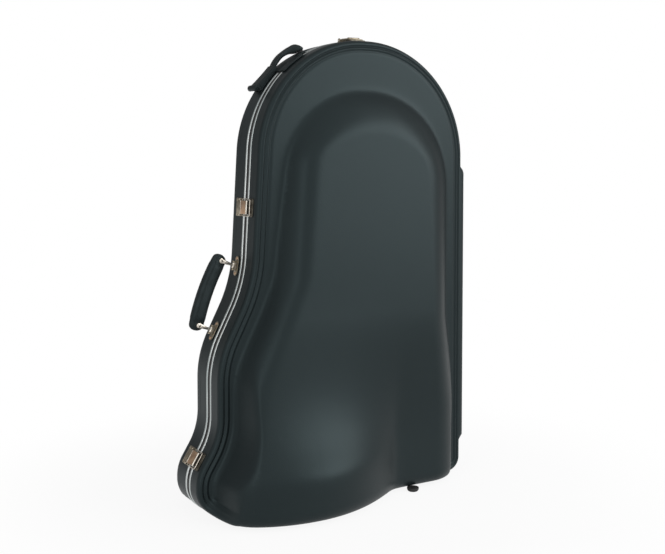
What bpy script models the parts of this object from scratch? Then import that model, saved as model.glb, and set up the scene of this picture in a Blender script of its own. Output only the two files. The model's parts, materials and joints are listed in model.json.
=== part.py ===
"""Hard case for a tuba: two moulded shells, hinged on the right side and held shut by three draw latches.

The case stands on its bell end. X is its width, with the latches at -X and the hinges at +X. The front
faces -Y, the shells meet in the plane y = 0, and Z is up from the floor. Every length is in metres.
"""
import math

import bmesh
import bpy
import numpy as np
from mathutils import Matrix, Vector
from mathutils.geometry import delaunay_2d_cdt

# Gap kept between pieces that touch
GAP = 0.0003

# Outline of the wall in the seam plane: corner x, corner z, fillet radius. Four corners end the standing rail
CASE_CORNERS = [
    (0.3588, 0.010, 0.036),
    (0.3588, 0.089, 0.0),
    (0.3588, 0.101, 0.0),
    (0.3588, 0.773, 0.0),
    (0.3588, 0.790, 0.0),
    (0.3588, 1.090, 0.279),
    (-0.1992, 1.090, 0.277),
    (-0.2317, 0.525, 0.310),
    (-0.3175, 0.357, 0.230),
    (-0.3175, 0.187, 0.150),
    (-0.3697, 0.103, 0.090),
    (-0.3697, 0.010, 0.062),
]
BELOW_FLOOR = -0.300

# Foot of the slope round the raised body panel
PANEL_CORNERS = [
    (0.3360, -0.300, 0.010),
    (0.3360, 0.200, 0.300),
    (0.3020, 0.420, 0.300),
    (0.3020, 0.968, 0.225),
    (-0.1290, 0.968, 0.210),
    (-0.1830, 0.540, 0.140),
    (-0.2980, 0.300, 0.200),
    (-0.3440, 0.080, 0.150),
    (-0.3440, -0.300, 0.010),
]
PANEL_SLOPE_LEFT = 0.074
PANEL_SLOPE_RIGHT = 0.092
PANEL_SLOPE_TOP = 0.150
PANEL_TOP_FROM_Z = 0.80
PANEL_TOP_TO_Z = 0.93
PANEL_RIGHT_FROM_X = 0.05
PANEL_RIGHT_TO_X = 0.22
PANEL_ROUNDNESS_LEFT = 3.2
PANEL_ROUNDNESS_RIGHT = 2.0
PANEL_FOOT_SOFTNESS = 0.05

# The body panel swells towards the bell and falls back at the foot of the case
SWELL_FROM_Z = 1.10
SWELL_TO_Z = 0.22
FALL_FROM_Z = 0.45
FALL_TO_Z = 0.12

# Bell bulge at the lower left
BELL_X = -0.1380
BELL_REACH_LEFT = 0.198
BELL_REACH_RIGHT = 0.255
BELL_POWER_LEFT = 0.60
BELL_POWER_RIGHT = 1.05
BELL_SIDE_SOFTNESS = 0.12
BELL_EDGE_Z = 0.117
BELL_EDGE_SOFTNESS = 0.022
BELL_FLARE_HEIGHT = 0.475
BELL_FLARE_POWER = 3.5
BELL_CAP_SLANT = 0.06

# Arch that carries the end handle
ARCH_CENTRE = Vector((0.0638, 0.811))
ARCH_RADIUS = 0.279

# Shells: thickness, where the moulding starts behind the rim profile, and the way from wall to shelf
SHELL_THICKNESS = 0.0040
SHELL_EDGE = 0.0143
SHOULDER_WIDTH = 0.031
SHELF_RISE = 0.0030
SHELF_MARGIN = 0.028
CONTOUR_INSETS = (0.0450, 0.0600)
CAP_ROUNDING = 0.020
FRONT_SHELL = {"side": -1.0, "shoulder": 0.0585, "panel": 0.110, "swell": 0.034, "fall": 0.030, "bell": 0.108}
BACK_SHELL = {"side": 1.0, "shoulder": 0.0735, "panel": 0.125, "swell": 0.0, "fall": 0.0, "bell": 0.0965}

# Standing rail moulded into the wall on the hinge side
RAIL_PROUD = 0.012
RAIL_BOTTOM = 0.088
RAIL_TOP = 0.791
RAIL_END_SLOPE = 0.014
RAIL_START = 0.0300
WALL_RINGS = 2

# Aluminium profiles and the gasket between them
PROFILE_INNER = 0.0060
PROFILE_OUTER = 0.0140
PROFILE_PROUD = 0.0010
PROFILE_DEPTH = 0.0100
PROFILE_LEG_START = 0.0043
PROFILE_LEG_END = 0.0062
PROFILE_LEG_REACH = 0.0280
GASKET_HALF = 0.0056
GASKET_SUNK = 0.0005

# Foam linings
LINING_OUTER = 0.0110
LINING_INNER = 0.0230
LINING_EDGE = 0.0150

# Draw latches: the three places on the outline, and the pieces in the latch's own frame
LATCH_SPOTS = {"top": (0.0568, 1.090), "upper": (-0.2222, 0.696), "lower": (-0.3532, 0.132)}
LATCH_PIVOT_B = -0.0178
LATCH_PIVOT_N = 0.0066
LATCH_LIFT = 0.0006
LATCH_HALF_LENGTH = 0.0210
LATCH_PLATE = 0.0016
LATCH_BASE_BACK = -0.0420
LATCH_BASE_FRONT = -0.0148
LATCH_EAR_IN = 0.0166
LATCH_EAR_OUT = 0.0188
LATCH_EAR_TOP = 0.0118
LATCH_EAR_BACK = -0.0224
LATCH_SINK = 0.0004
LATCH_LEVER_HALF = 0.0160
LATCH_BARREL = 0.0034
LATCH_LOOP_B = 0.0113
LATCH_LOOP_N = -0.0012
LATCH_LOOP_TUBE = 0.0028
LATCH_TONGUE_REACH = 0.0310
LATCH_PIN = 0.0014
LATCH_WIRE = 0.0012
LATCH_LOOP_HALF = 0.0195
LATCH_LOOP_REACH = 0.0322
LATCH_CATCH_START = 0.0165
LATCH_CATCH_END = 0.0360
LATCH_LIP_START = 0.0215
LATCH_LIP_THICK = 0.0018
LATCH_LIP_TOP = 0.0068
LATCH_LIP_HALF = 0.0120

# Hinges on the right side
HINGE_HEIGHTS = (0.200, 0.4425, 0.685)
HINGE_HALF_HEIGHT = 0.030
HINGE_AXIS_N = 0.0060
HINGE_KNUCKLE = 0.0038
HINGE_PLATE_LOW = 0.0013
HINGE_PLATE_HIGH = 0.0029
HINGE_LEAF_WIDTH = 0.0285
HINGE_NOTCH = 0.0062
HINGE_PIN = 0.0015
HINGE_SPLIT = 0.010

# Carry handle
HANDLE_Y = 0.0260
HANDLE_EYE_ZS = (0.5575, 0.4150)
HANDLE_EYE_HEIGHT = 0.0112
HANDLE_LINK_LENGTH = 0.0320
HANDLE_BULGE = 0.0130
HANDLE_END_BULGE = 0.0020
HANDLE_GRIP_THICK = 0.0380
HANDLE_GRIP_WIDE = 0.0280
HANDLE_OVERHANG = 0.0090
HANDLE_CHEEK = 0.0020
HANDLE_TONGUE_HALF = 0.0085
HANDLE_PLATE_LENGTH = 0.0460
HANDLE_PLATE_WIDTH = 0.0170
HANDLE_BAR = 0.0018
HANDLE_BARREL = 0.0042
HANDLE_BARREL_HALF = 0.0060
HANDLE_RIVET = 0.0024
HANDLE_RIVET_HEAD = 0.0044
HANDLE_RIVET_RIM = 0.0012
HANDLE_PIN_HEIGHT = 0.0365
HANDLE_LINK_HALF = 0.0060
HANDLE_LINK_FLOOR = 0.0115
HANDLE_LINK_BRIDGE = 0.0015
HANDLE_NECK_HALF = 0.0035
HANDLE_PLATE_THICK = 0.0016
HANDLE_PLATE_STAND = 0.0026
HANDLE_POST_START = 0.0075
HANDLE_POST_END = 0.0110
HANDLE_POST_TOP = 0.0045
GRIP_SHARES = (-1.0, -0.9, -0.8, -0.7, -0.45, -0.15, 0.15, 0.45, 0.7, 0.8, 0.9, 1.0)

# End handle on the arch: angles in degrees about the arch centre
END_CAP_FROM = 146.0
END_CAP_TO = 132.5
END_PLATE_FROM = 134.5
END_PLATE_TO = 117.5
END_BACK_Y = 0.058
END_CAP_FRONT_Y = 0.019
END_PLATE_FRONT_Y = -0.027
END_PLATE_LOW = 0.0024
END_PLATE_HIGH = 0.0056
END_CAP_HIGH = 0.0195
END_CAP_TAPER = 0.0040
END_CLEAR = 0.0022
END_LIP_RADIUS = 0.0045
END_LIP_HEIGHT = 0.0160
END_GRIP_HALF_WIDTH = 0.0140
END_GRIP_SQUARENESS = 0.7

# Route of the padded strap: angle, height over the wall, y and thickness
END_GRIP_ROUTE = [
    (131.3, 0.0096, 0.0360, 0.0056),
    (130.5, 0.0140, 0.0350, 0.0062),
    (129.2, 0.0190, 0.0320, 0.0078),
    (127.0, 0.0242, 0.0270, 0.0100),
    (124.4, 0.0268, 0.0200, 0.0118),
    (121.9, 0.0262, 0.0130, 0.0122),
    (119.9, 0.0216, 0.0070, 0.0112),
    (119.1, 0.0142, 0.0040, 0.0090),
    (118.9, 0.0068, 0.0035, 0.0072),
]

# Feet
FOOT_PLACES = (-0.2752, 0.1738)
FOOT_Y = 0.109
FOOT_RADIUS = 0.0145
FOOT_HEIGHT = 0.0094
FOOT_SEAT = 0.0165

# Inside
SADDLE_HEIGHTS = {"lower_saddle": 0.400, "upper_saddle": 0.760}
SADDLE_THICKNESS = 0.070
SADDLE_LEFT = {"lower_saddle": -0.157, "upper_saddle": -0.067}
SADDLE_RIGHT = 0.193
SADDLE_FLOOR = BACK_SHELL["panel"] - LINING_INNER - 0.0010
SADDLE_TOP = 0.035
SADDLE_HOLLOW = 0.085
SADDLE_HOLLOW_RISE = 0.038
BOX_LOW = Vector((0.118, 0.040, 0.095))
BOX_HIGH = Vector((0.213, BACK_SHELL["panel"] - LINING_INNER - 0.0010, 0.265))
BOX_WALL = 0.008
PAD_CENTRE = Vector((0.053, 0.0, 0.640))
PAD_SIZE = Vector((0.220, 0.030, 0.200))
PAD_GAP = 0.0012

# Facet sizes
ARC_STEP = math.radians(10.0)
STRAIGHT_STEP = 0.060
RELIEF_GRID = 0.040


def clear_scene():
    for obj in list(bpy.data.objects):
        bpy.data.objects.remove(obj, do_unlink=True)


def material(name, colour, roughness, metallic=0.0):
    mat = bpy.data.materials.new(name)
    mat.use_nodes = True
    shader = mat.node_tree.nodes["Principled BSDF"]
    shader.inputs["Base Color"].default_value = (*colour, 1.0)
    shader.inputs["Roughness"].default_value = roughness
    shader.inputs["Metallic"].default_value = metallic
    return mat


def black_plastic():
    return material("black_plastic", (0.018, 0.022, 0.024), 0.42)


def aluminium():
    return material("aluminium", (0.78, 0.80, 0.80), 0.28, 1.0)


def nickel():
    return material("nickel", (0.70, 0.66, 0.62), 0.22, 1.0)


def rubber():
    return material("rubber", (0.012, 0.012, 0.013), 0.7)


def vinyl():
    return material("vinyl", (0.020, 0.020, 0.021), 0.5)


def plush_foam():
    return material("plush_foam", (0.030, 0.030, 0.034), 0.95)


def add_object(name, mesh, mat):
    mesh.materials.append(mat)
    obj = bpy.data.objects.new(name, mesh)
    bpy.context.scene.collection.objects.link(obj)
    return obj


def mesh_from(bm, name, smooth_angle=35.0):
    """Close the bmesh into a mesh with its faces pointing out."""
    bmesh.ops.recalc_face_normals(bm, faces=bm.faces)
    mesh = bpy.data.meshes.new(name)
    bm.to_mesh(mesh)
    bm.free()
    mesh.shade_smooth()
    mesh.set_sharp_from_angle(angle=math.radians(smooth_angle))
    return mesh


def hide_cutter(obj):
    obj.hide_render = True
    obj.display_type = "WIRE"


def boolean(obj, other, operation):
    modifier = obj.modifiers.new(operation.lower(), "BOOLEAN")
    modifier.operation = operation
    modifier.solver = "EXACT"
    modifier.object = other
    hide_cutter(other)


def smoothstep(low, high, value):
    t = np.clip((value - low) / (high - low), 0.0, 1.0)
    return t * t * (3.0 - 2.0 * t)


def soft_ramp(value, softness):
    """0 below zero and the value itself above it, with a rounded bend between."""
    return 0.5 * (value + np.sqrt(value * value + softness * softness))


def rounded_outline(corners, arc_step, straight_step):
    """Points and outward normals of a counter-clockwise polygon with filleted corners."""
    count = len(corners)
    arcs = []
    for i in range(count):
        here = Vector(corners[i][:2])
        before = (here - Vector(corners[i - 1][:2])).normalized()
        after = (Vector(corners[(i + 1) % count][:2]) - here).normalized()
        turn = math.atan2(before.x * after.y - before.y * after.x, before.dot(after))
        radius = corners[i][2]
        side = math.copysign(1.0, turn)
        start = here - before * radius * math.tan(abs(turn) / 2.0)
        outward = Vector((before.y, -before.x))
        centre = start - outward * side * radius
        arcs.append((centre, outward, turn, radius * side))
    points = []
    normals = []
    for i in range(count):
        centre, outward, turn, signed_radius = arcs[i]
        pieces = max(2, round(abs(turn) / arc_step))
        for k in range(pieces + 1):
            normal = outward.copy()
            normal.rotate(Matrix.Rotation(turn * k / pieces, 2))
            points.append(centre + normal * signed_radius)
            normals.append(normal)
        following = arcs[(i + 1) % count]
        target = following[0] + following[1] * following[3]
        here = points[-1].copy()
        between = max(1, round((target - here).length / straight_step))
        for k in range(1, between):
            points.append(here.lerp(target, k / between))
            normals.append(normals[-1].copy())
    kept_points = []
    kept_normals = []
    for i, point in enumerate(points):
        if (point - points[i - 1]).length > 0.002:
            kept_points.append(point)
            kept_normals.append(normals[i])
    return np.array(kept_points), np.array(kept_normals)


def distance_inside(x, z, loop):
    """Distance of the points to a closed loop, positive inside it."""
    step = np.roll(loop, -1, axis=0) - loop
    rel_x = x[:, None] - loop[None, :, 0]
    rel_z = z[:, None] - loop[None, :, 1]
    along = np.clip((rel_x * step[:, 0] + rel_z * step[:, 1]) / (step ** 2).sum(axis=1), 0.0, 1.0)
    gap = np.hypot(rel_x - along * step[:, 0], rel_z - along * step[:, 1])
    crossing_x = loop[:, 0] + rel_z * step[:, 0] / np.where(step[:, 1] == 0.0, 1e-9, step[:, 1])
    crossings = ((rel_z > 0.0) != (rel_z - step[:, 1] > 0.0)) & (x[:, None] < crossing_x)
    inside = crossings.sum(axis=1) % 2 == 1
    return np.where(inside, 1.0, -1.0) * gap.min(axis=1)


CASE_OUTLINE, CASE_NORMALS = rounded_outline(CASE_CORNERS, ARC_STEP, STRAIGHT_STEP)
SIDE_CORNERS = [(x, z if z > 0.02 else BELOW_FLOOR, radius) for x, z, radius in CASE_CORNERS]
SIDE_SKETCH = rounded_outline(SIDE_CORNERS, math.radians(5.0), 1.0)[0]
PANEL_SKETCH = rounded_outline(PANEL_CORNERS, math.radians(4.0), 1.0)[0]


def clear_of_wall(x, z):
    """0 at the shoulder of the side walls and the arch, 1 well inside them and all along the floor."""
    return smoothstep(SHOULDER_WIDTH, SHOULDER_WIDTH + SHELF_MARGIN, distance_inside(x, z, SIDE_SKETCH))


def full_relief(x, z, shell):
    """Depth of the outer face in front of the seam, with no regard to the shoulder."""
    shelf = shell["shoulder"] + SHELF_RISE
    top = smoothstep(PANEL_TOP_FROM_Z, PANEL_TOP_TO_Z, z)
    right = smoothstep(PANEL_RIGHT_FROM_X, PANEL_RIGHT_TO_X, x) * (1.0 - top)
    slope = PANEL_SLOPE_LEFT + (PANEL_SLOPE_TOP - PANEL_SLOPE_LEFT) * top
    slope = slope + (PANEL_SLOPE_RIGHT - PANEL_SLOPE_LEFT) * right
    roundness = PANEL_ROUNDNESS_LEFT + (PANEL_ROUNDNESS_RIGHT - PANEL_ROUNDNESS_LEFT) * right
    climb = soft_ramp(distance_inside(x, z, PANEL_SKETCH) / slope, PANEL_FOOT_SOFTNESS)
    raised = 1.0 - np.maximum(1.0 - climb, 0.0) ** roundness
    panel = shell["panel"] + shell["swell"] * (1.0 - smoothstep(SWELL_TO_Z, SWELL_FROM_Z, z))
    panel = panel - shell["fall"] * (1.0 - smoothstep(FALL_TO_Z, FALL_FROM_Z, z))
    left = x < BELL_X
    reach = np.where(left, BELL_REACH_LEFT, BELL_REACH_RIGHT)
    across = soft_ramp(1.0 - ((x - BELL_X) / reach) ** 2, BELL_SIDE_SOFTNESS)
    across = across ** np.where(left, BELL_POWER_LEFT, BELL_POWER_RIGHT)
    flare = soft_ramp(z - BELL_EDGE_Z, BELL_EDGE_SOFTNESS) / BELL_FLARE_HEIGHT
    cap = BELL_CAP_SLANT * soft_ramp(BELL_EDGE_Z - z, BELL_EDGE_SOFTNESS)
    bell = shell["bell"] * np.maximum(1.0 - flare, 0.0) ** BELL_FLARE_POWER - cap
    return shelf + (panel - shelf) * raised + bell * across


def relief(x, z, shell):
    """Depth of the outer face in front of the seam: shelf, body panel and bell bulge."""
    shelf = shell["shoulder"] + SHELF_RISE
    return shelf + (full_relief(x, z, shell) - shelf) * clear_of_wall(x, z)


def relief_normals(x, z, shell):
    """Unit normals (x, depth, z) of the relief."""
    step = 0.002
    slope_x = relief(x + step, z, shell) - relief(x - step, z, shell)
    slope_z = relief(x, z + step, shell) - relief(x, z - step, shell)
    normals = np.stack([-slope_x / (2 * step), np.ones_like(x), -slope_z / (2 * step)], axis=1)
    return normals / np.linalg.norm(normals, axis=1)[:, None]


def rail_share(points):
    """1 on the right wall where the standing rail is, 0 elsewhere."""
    on_wall = points[:, 0] > CASE_CORNERS[0][0] - 0.001
    rise = smoothstep(RAIL_BOTTOM, RAIL_BOTTOM + RAIL_END_SLOPE, points[:, 1])
    fall = smoothstep(RAIL_TOP - RAIL_END_SLOPE, RAIL_TOP, points[:, 1])
    return np.where(on_wall, rise * (1.0 - fall), 0.0)


def wall_rings(shell, skin, line, straight):
    """Rings from the rim to the shoulder, each an (n, 3) array of x, depth, z. Along the floor the first
    ones, as many as straight, run to the front edge and the others round it."""
    outline, normals = CASE_OUTLINE, CASE_NORMALS
    end = outline - normals * SHOULDER_WIDTH
    full = full_relief(end[:, 0], end[:, 1], shell)
    cap = clear_of_wall(end[:, 0], end[:, 1])
    rail = rail_share(outline)
    radius = max(CAP_ROUNDING - skin, 0.0)
    edge = line[0][1]
    rings = []
    for k, (inset, depth, on_rail) in enumerate(line):
        turn = 0.5 * math.pi * max(0.0, (k - straight) / (len(line) - 1 - straight))
        cap_inset = skin + (SHOULDER_WIDTH - skin) * (1.0 - math.cos(turn))
        cap_depth = full - skin - radius * (1.0 - math.sin(turn))
        cap_depth = edge + (cap_depth - edge) * min(1.0, k / straight)
        inset_here = inset + (cap_inset - inset) * cap - on_rail * RAIL_PROUD * rail
        depth_here = depth + (cap_depth - depth) * cap
        flat = outline - normals * inset_here[:, None]
        rings.append(np.column_stack([flat[:, 0], depth_here, flat[:, 1]]))
    return rings


def points_inside(loop, spacing):
    """Rows along the outline over the steep band beside the shoulder, and a lattice inside them."""
    contours = []
    for inset in CONTOUR_INSETS:
        ring = CASE_OUTLINE - CASE_NORMALS * inset
        contours.append(ring[distance_inside(ring[:, 0], ring[:, 1], CASE_OUTLINE) > inset - 0.001])
    lattice = []
    row_step = spacing * 0.87
    low = loop[:, 1].min()
    high = loop[:, 1].max()
    rows = int((high - low) / row_step)
    first = low + 0.5 * (high - low - (rows - 1) * row_step)
    following = np.roll(loop, -1, axis=0)
    for r in range(rows):
        z = first + r * row_step
        spans = (loop[:, 1] > z) != (following[:, 1] > z)
        share = (z - loop[spans, 1]) / (following[spans, 1] - loop[spans, 1])
        crossings = loop[spans, 0] + share * (following[spans, 0] - loop[spans, 0])
        columns = int((crossings.max() - crossings.min()) / spacing)
        middle = 0.5 * (crossings.max() + crossings.min()) + (0.25 if r % 2 else -0.25) * spacing
        lattice += [(middle + (c - 0.5 * (columns - 1)) * spacing, z) for c in range(columns)]
    lattice = np.array(lattice)
    inset = distance_inside(lattice[:, 0], lattice[:, 1], CASE_OUTLINE)
    return np.concatenate(contours + [lattice[inset > CONTOUR_INSETS[-1] + 0.5 * spacing]])


def triangulate(loop, inner):
    """Triangles over the loop and the points inside it, as indices into loop + inner."""
    coords = [Vector(p) for p in loop] + [Vector(p) for p in inner]
    ring = list(range(len(loop)))
    edges = [(i, (i + 1) % len(loop)) for i in ring]
    result = delaunay_2d_cdt(coords, edges, [ring], 1, 1e-6)
    origin = [sources[0] for sources in result[3]]
    return [tuple(origin[i] for i in face) for face in result[2]]


def add_ring(bm, ring, side):
    return [bm.verts.new((x, side * depth, z)) for x, depth, z in ring]


def join_rings(bm, first, second):
    count = len(first)
    for i in range(count):
        j = (i + 1) % count
        bm.faces.new((first[i], first[j], second[j], second[i]))


def moulded(name, shell, skins, lines, straight, mat):
    """A closed solid between two offset faces of the same relief."""
    bm = bmesh.new()
    loop = CASE_OUTLINE - CASE_NORMALS * SHOULDER_WIDTH
    inner = points_inside(loop, RELIEF_GRID)
    triangles = triangulate(loop, inner)
    both = np.concatenate([loop, inner])
    outer = np.column_stack([both[:, 0], relief(both[:, 0], both[:, 1], shell), both[:, 1]])
    directions = relief_normals(both[:, 0], both[:, 1], shell)
    edge_rings = []
    for skin, line in zip(skins, lines):
        face = outer - directions * skin
        rings = wall_rings(shell, skin, line, straight)
        rings[-1] = face[:len(loop)]
        made = [add_ring(bm, ring, shell["side"]) for ring in rings]
        for first, second in zip(made, made[1:]):
            join_rings(bm, first, second)
        verts = made[-1] + add_ring(bm, face[len(loop):], shell["side"])
        for triangle in triangles:
            bm.faces.new([verts[i] for i in triangle])
        edge_rings.append(made[0])
    join_rings(bm, edge_rings[0], edge_rings[1])
    return add_object(name, mesh_from(bm, name), mat)


def shell_profiles(shoulder):
    """Inset, depth and share of the rail, from the rim to the shelf: outer and inner face."""
    outer = [
        (0.0000, SHELL_EDGE, 0.0),
        (0.0000, RAIL_START, 0.0),
        (0.0000, RAIL_START + 0.0012, 1.0),
        (0.0000, shoulder - 0.0120, 1.0),
        (0.0020, shoulder - 0.0060, 0.9),
        (0.0090, shoulder, 0.0),
        (0.0140, shoulder - 0.0016, 0.0),
        (0.0190, shoulder + 0.0030, 0.0),
        (0.0250, shoulder + 0.0014, 0.0),
        (SHOULDER_WIDTH, shoulder + SHELF_RISE, 0.0),
    ]
    inner = [
        (SHELL_THICKNESS, SHELL_EDGE, 0.0),
        (SHELL_THICKNESS, RAIL_START, 0.0),
        (SHELL_THICKNESS, shoulder - 0.0130, 0.0),
        (0.0120, shoulder - 0.0060, 0.0),
        (SHOULDER_WIDTH, shoulder - 0.0010, 0.0),
    ]
    return outer, inner


def lining_profiles(shoulder):
    outer = [
        (0.0072, LINING_EDGE, 0.0),
        (0.0072, RAIL_START, 0.0),
        (0.0072, shoulder - 0.0180, 0.0),
        (SHOULDER_WIDTH, shoulder - 0.0060, 0.0),
    ]
    inner = [
        (0.0190, LINING_EDGE, 0.0),
        (0.0190, RAIL_START - 0.0050, 0.0),
        (0.0190, shoulder - 0.0290, 0.0),
        (SHOULDER_WIDTH, shoulder - 0.0180, 0.0),
    ]
    return outer, inner


def make_shells():
    mat = black_plastic()
    for name, shell in (("front_shell", FRONT_SHELL), ("back_shell", BACK_SHELL)):
        lines = shell_profiles(shell["shoulder"])
        moulding = moulded(name, shell, (0.0, SHELL_THICKNESS), lines, WALL_RINGS, mat)
        for number, x in enumerate(FOOT_PLACES):
            wide = FOOT_RADIUS + 0.0015
            seat_ends = [(FOOT_HEIGHT + GAP, wide), (FOOT_SEAT, wide)]
            seat = turned("%s_seat_%d" % (name, number), seat_ends, mat, 16)
            seat.matrix_world = foot_place(x, shell["side"])
            boolean(moulding, seat, "UNION")


def make_linings():
    mat = plush_foam()
    skins = (LINING_OUTER, LINING_INNER)
    for name, shell in (("front_lining", FRONT_SHELL), ("back_lining", BACK_SHELL)):
        moulded(name, shell, skins, lining_profiles(shell["shoulder"]), 1, mat)


def outline_band(name, section, side, mat):
    """Sweep a section of (inset, depth) points round the outline into a closed ring."""
    bm = bmesh.new()
    rings = []
    for inset, depth in section:
        flat = CASE_OUTLINE - CASE_NORMALS * inset
        ring = np.column_stack([flat[:, 0], np.full(len(flat), depth), flat[:, 1]])
        rings.append(add_ring(bm, ring, side))
    for first, second in zip(rings, rings[1:] + rings[:1]):
        join_rings(bm, first, second)
    return add_object(name, mesh_from(bm, name), mat)


def make_rim():
    metal = aluminium()
    section = [
        (-PROFILE_PROUD, PROFILE_INNER),
        (-PROFILE_PROUD, PROFILE_OUTER),
        (PROFILE_LEG_START, PROFILE_OUTER),
        (PROFILE_LEG_START, PROFILE_LEG_REACH),
        (PROFILE_LEG_END, PROFILE_LEG_REACH),
        (PROFILE_LEG_END, PROFILE_OUTER),
        (PROFILE_DEPTH, PROFILE_OUTER),
        (PROFILE_DEPTH, PROFILE_INNER),
    ]
    outline_band("front_rim_profile", section, FRONT_SHELL["side"], metal)
    outline_band("back_rim_profile", section, BACK_SHELL["side"], metal)
    gasket = [
        (GASKET_SUNK, -GASKET_HALF),
        (GASKET_SUNK, GASKET_HALF),
        (PROFILE_DEPTH - 0.001, GASKET_HALF),
        (PROFILE_DEPTH - 0.001, -GASKET_HALF),
    ]
    outline_band("rim_gasket", gasket, 1.0, rubber())


def fine_outline():
    return rounded_outline(CASE_CORNERS, math.radians(1.0), 0.004)


def outline_frame(x, z):
    """Frame on the wall near a point: axes along the outline, to the front, and outward."""
    dense, normals = fine_outline()
    nearest = np.hypot(dense[:, 0] - x, dense[:, 1] - z).argmin()
    outward = Vector((normals[nearest][0], 0.0, normals[nearest][1]))
    place = Vector((dense[nearest][0], 0.0, dense[nearest][1]))
    return frame_matrix(place, outward)


def left_wall(z):
    """Point on the left wall at a height."""
    dense = fine_outline()[0]
    left = dense[dense[:, 0] < ARCH_CENTRE.x]
    nearest = np.abs(left[:, 1] - z).argmin()
    return Vector((left[nearest][0], 0.0, left[nearest][1]))


def frame_matrix(place, outward):
    front = Vector((0.0, -1.0, 0.0))
    along = front.cross(outward)
    matrix = Matrix((along, front, outward)).transposed().to_4x4()
    matrix.translation = place
    return matrix


def extruded(name, profile, start, end, mat):
    """Solid with its section in the (front, outward) plane, drawn out along the first axis."""
    bm = bmesh.new()
    face = bm.faces.new([bm.verts.new((start, b, n)) for b, n in profile])
    drawn = bmesh.ops.extrude_face_region(bm, geom=[face])["geom"]
    verts = [item for item in drawn if isinstance(item, bmesh.types.BMVert)]
    bmesh.ops.translate(bm, verts=verts, vec=(end - start, 0.0, 0.0))
    return add_object(name, mesh_from(bm, name), mat)


def box_object(name, low, high, mat):
    profile = [(low[1], low[2]), (high[1], low[2]), (high[1], high[2]), (low[1], high[2])]
    return extruded(name, profile, low[0], high[0], mat)


def turned(name, rings, mat, sides=14):
    """Solid of revolution about the first axis, from (position, radius) pairs."""
    bm = bmesh.new()
    made = []
    for position, radius in rings:
        ring = []
        for k in range(sides):
            angle = 2.0 * math.pi * k / sides
            ring.append(bm.verts.new((position, radius * math.cos(angle), radius * math.sin(angle))))
        made.append(ring)
    for first, second in zip(made, made[1:]):
        join_rings(bm, first, second)
    bm.faces.new(made[0])
    bm.faces.new(made[-1])
    return add_object(name, mesh_from(bm, name), mat)


def arc(centre, radius, start, end, pieces):
    points = []
    for k in range(pieces + 1):
        angle = math.radians(start + (end - start) * k / pieces)
        points.append((centre[0] + radius * math.cos(angle), centre[1] + radius * math.sin(angle)))
    return points


def lever_profile():
    """Section of the latch lever about its pivot: barrel, tongue, loop tube and curled end."""
    low = 0.0012
    high = 0.0032
    top = math.degrees(math.asin(high / LATCH_BARREL))
    bottom = math.degrees(math.asin(low / LATCH_BARREL))
    loop_angle = math.degrees(math.asin((low - LATCH_LOOP_N) / LATCH_LOOP_TUBE))
    points = arc((0.0, 0.0), LATCH_BARREL, top, 360.0 + bottom, 11)
    points += arc((LATCH_LOOP_B, LATCH_LOOP_N), LATCH_LOOP_TUBE, 180.0 - loop_angle, 360.0 + loop_angle, 8)
    points += arc((LATCH_TONGUE_REACH, low), high - low, 180.0, 450.0, 6)
    return points


def make_latch(key):
    metal = nickel()
    frame = outline_frame(*LATCH_SPOTS[key])
    base = box_object("latch_base_" + key, (-LATCH_HALF_LENGTH, LATCH_BASE_BACK, LATCH_LIFT),
                      (LATCH_HALF_LENGTH, LATCH_BASE_FRONT, LATCH_LIFT + LATCH_PLATE), metal)
    base.matrix_world = frame
    for number, side in enumerate((-1.0, 1.0)):
        near = side * LATCH_EAR_IN
        far = side * LATCH_EAR_OUT
        ear_low = (min(near, far), LATCH_EAR_BACK, LATCH_LIFT + LATCH_SINK)
        ear_high = (max(near, far), LATCH_BASE_FRONT - LATCH_SINK, LATCH_EAR_TOP)
        ear = box_object("ear_%s_%d" % (key, number), ear_low, ear_high, metal)
        ear.matrix_world = frame
        boolean(base, ear, "UNION")
    pivot = frame @ Matrix.Translation((0.0, LATCH_PIVOT_B, LATCH_PIVOT_N))
    bore = turned("ear_bore_" + key, [(-0.03, LATCH_PIN + GAP), (0.03, LATCH_PIN + GAP)], metal)
    bore.matrix_world = pivot
    boolean(base, bore, "DIFFERENCE")

    pin = turned("latch_pin_" + key, [(-0.0203, 0.0024), (-0.0193, 0.0024), (-0.0193, LATCH_PIN),
                                      (0.0193, LATCH_PIN), (0.0193, 0.0024), (0.0203, 0.0024)], metal)
    pin.matrix_world = pivot

    lever = extruded("latch_lever_" + key, lever_profile(), -LATCH_LEVER_HALF, LATCH_LEVER_HALF, metal)
    lever.matrix_world = pivot
    boolean(lever, bore, "DIFFERENCE")
    loop_pivot = pivot @ Matrix.Translation((0.0, LATCH_LOOP_B, LATCH_LOOP_N))
    loop_bore = turned("loop_bore_" + key, [(-0.03, LATCH_WIRE + GAP), (0.03, LATCH_WIRE + GAP)], metal)
    loop_bore.matrix_world = loop_pivot
    boolean(lever, loop_bore, "DIFFERENCE")

    loop = wire_loop("latch_loop_" + key, metal)
    loop.matrix_world = loop_pivot

    catch = box_object("latch_catch_" + key, (-LATCH_HALF_LENGTH, LATCH_CATCH_START, LATCH_LIFT),
                       (LATCH_HALF_LENGTH, LATCH_CATCH_END, LATCH_LIFT + LATCH_PLATE), metal)
    catch.matrix_world = frame
    lip = box_object("lip_" + key, (-LATCH_LIP_HALF, LATCH_LIP_START, LATCH_LIFT + LATCH_SINK),
                     (LATCH_LIP_HALF, LATCH_LIP_START + LATCH_LIP_THICK, LATCH_LIP_TOP), metal)
    lip.matrix_world = frame
    boolean(catch, lip, "UNION")


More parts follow.
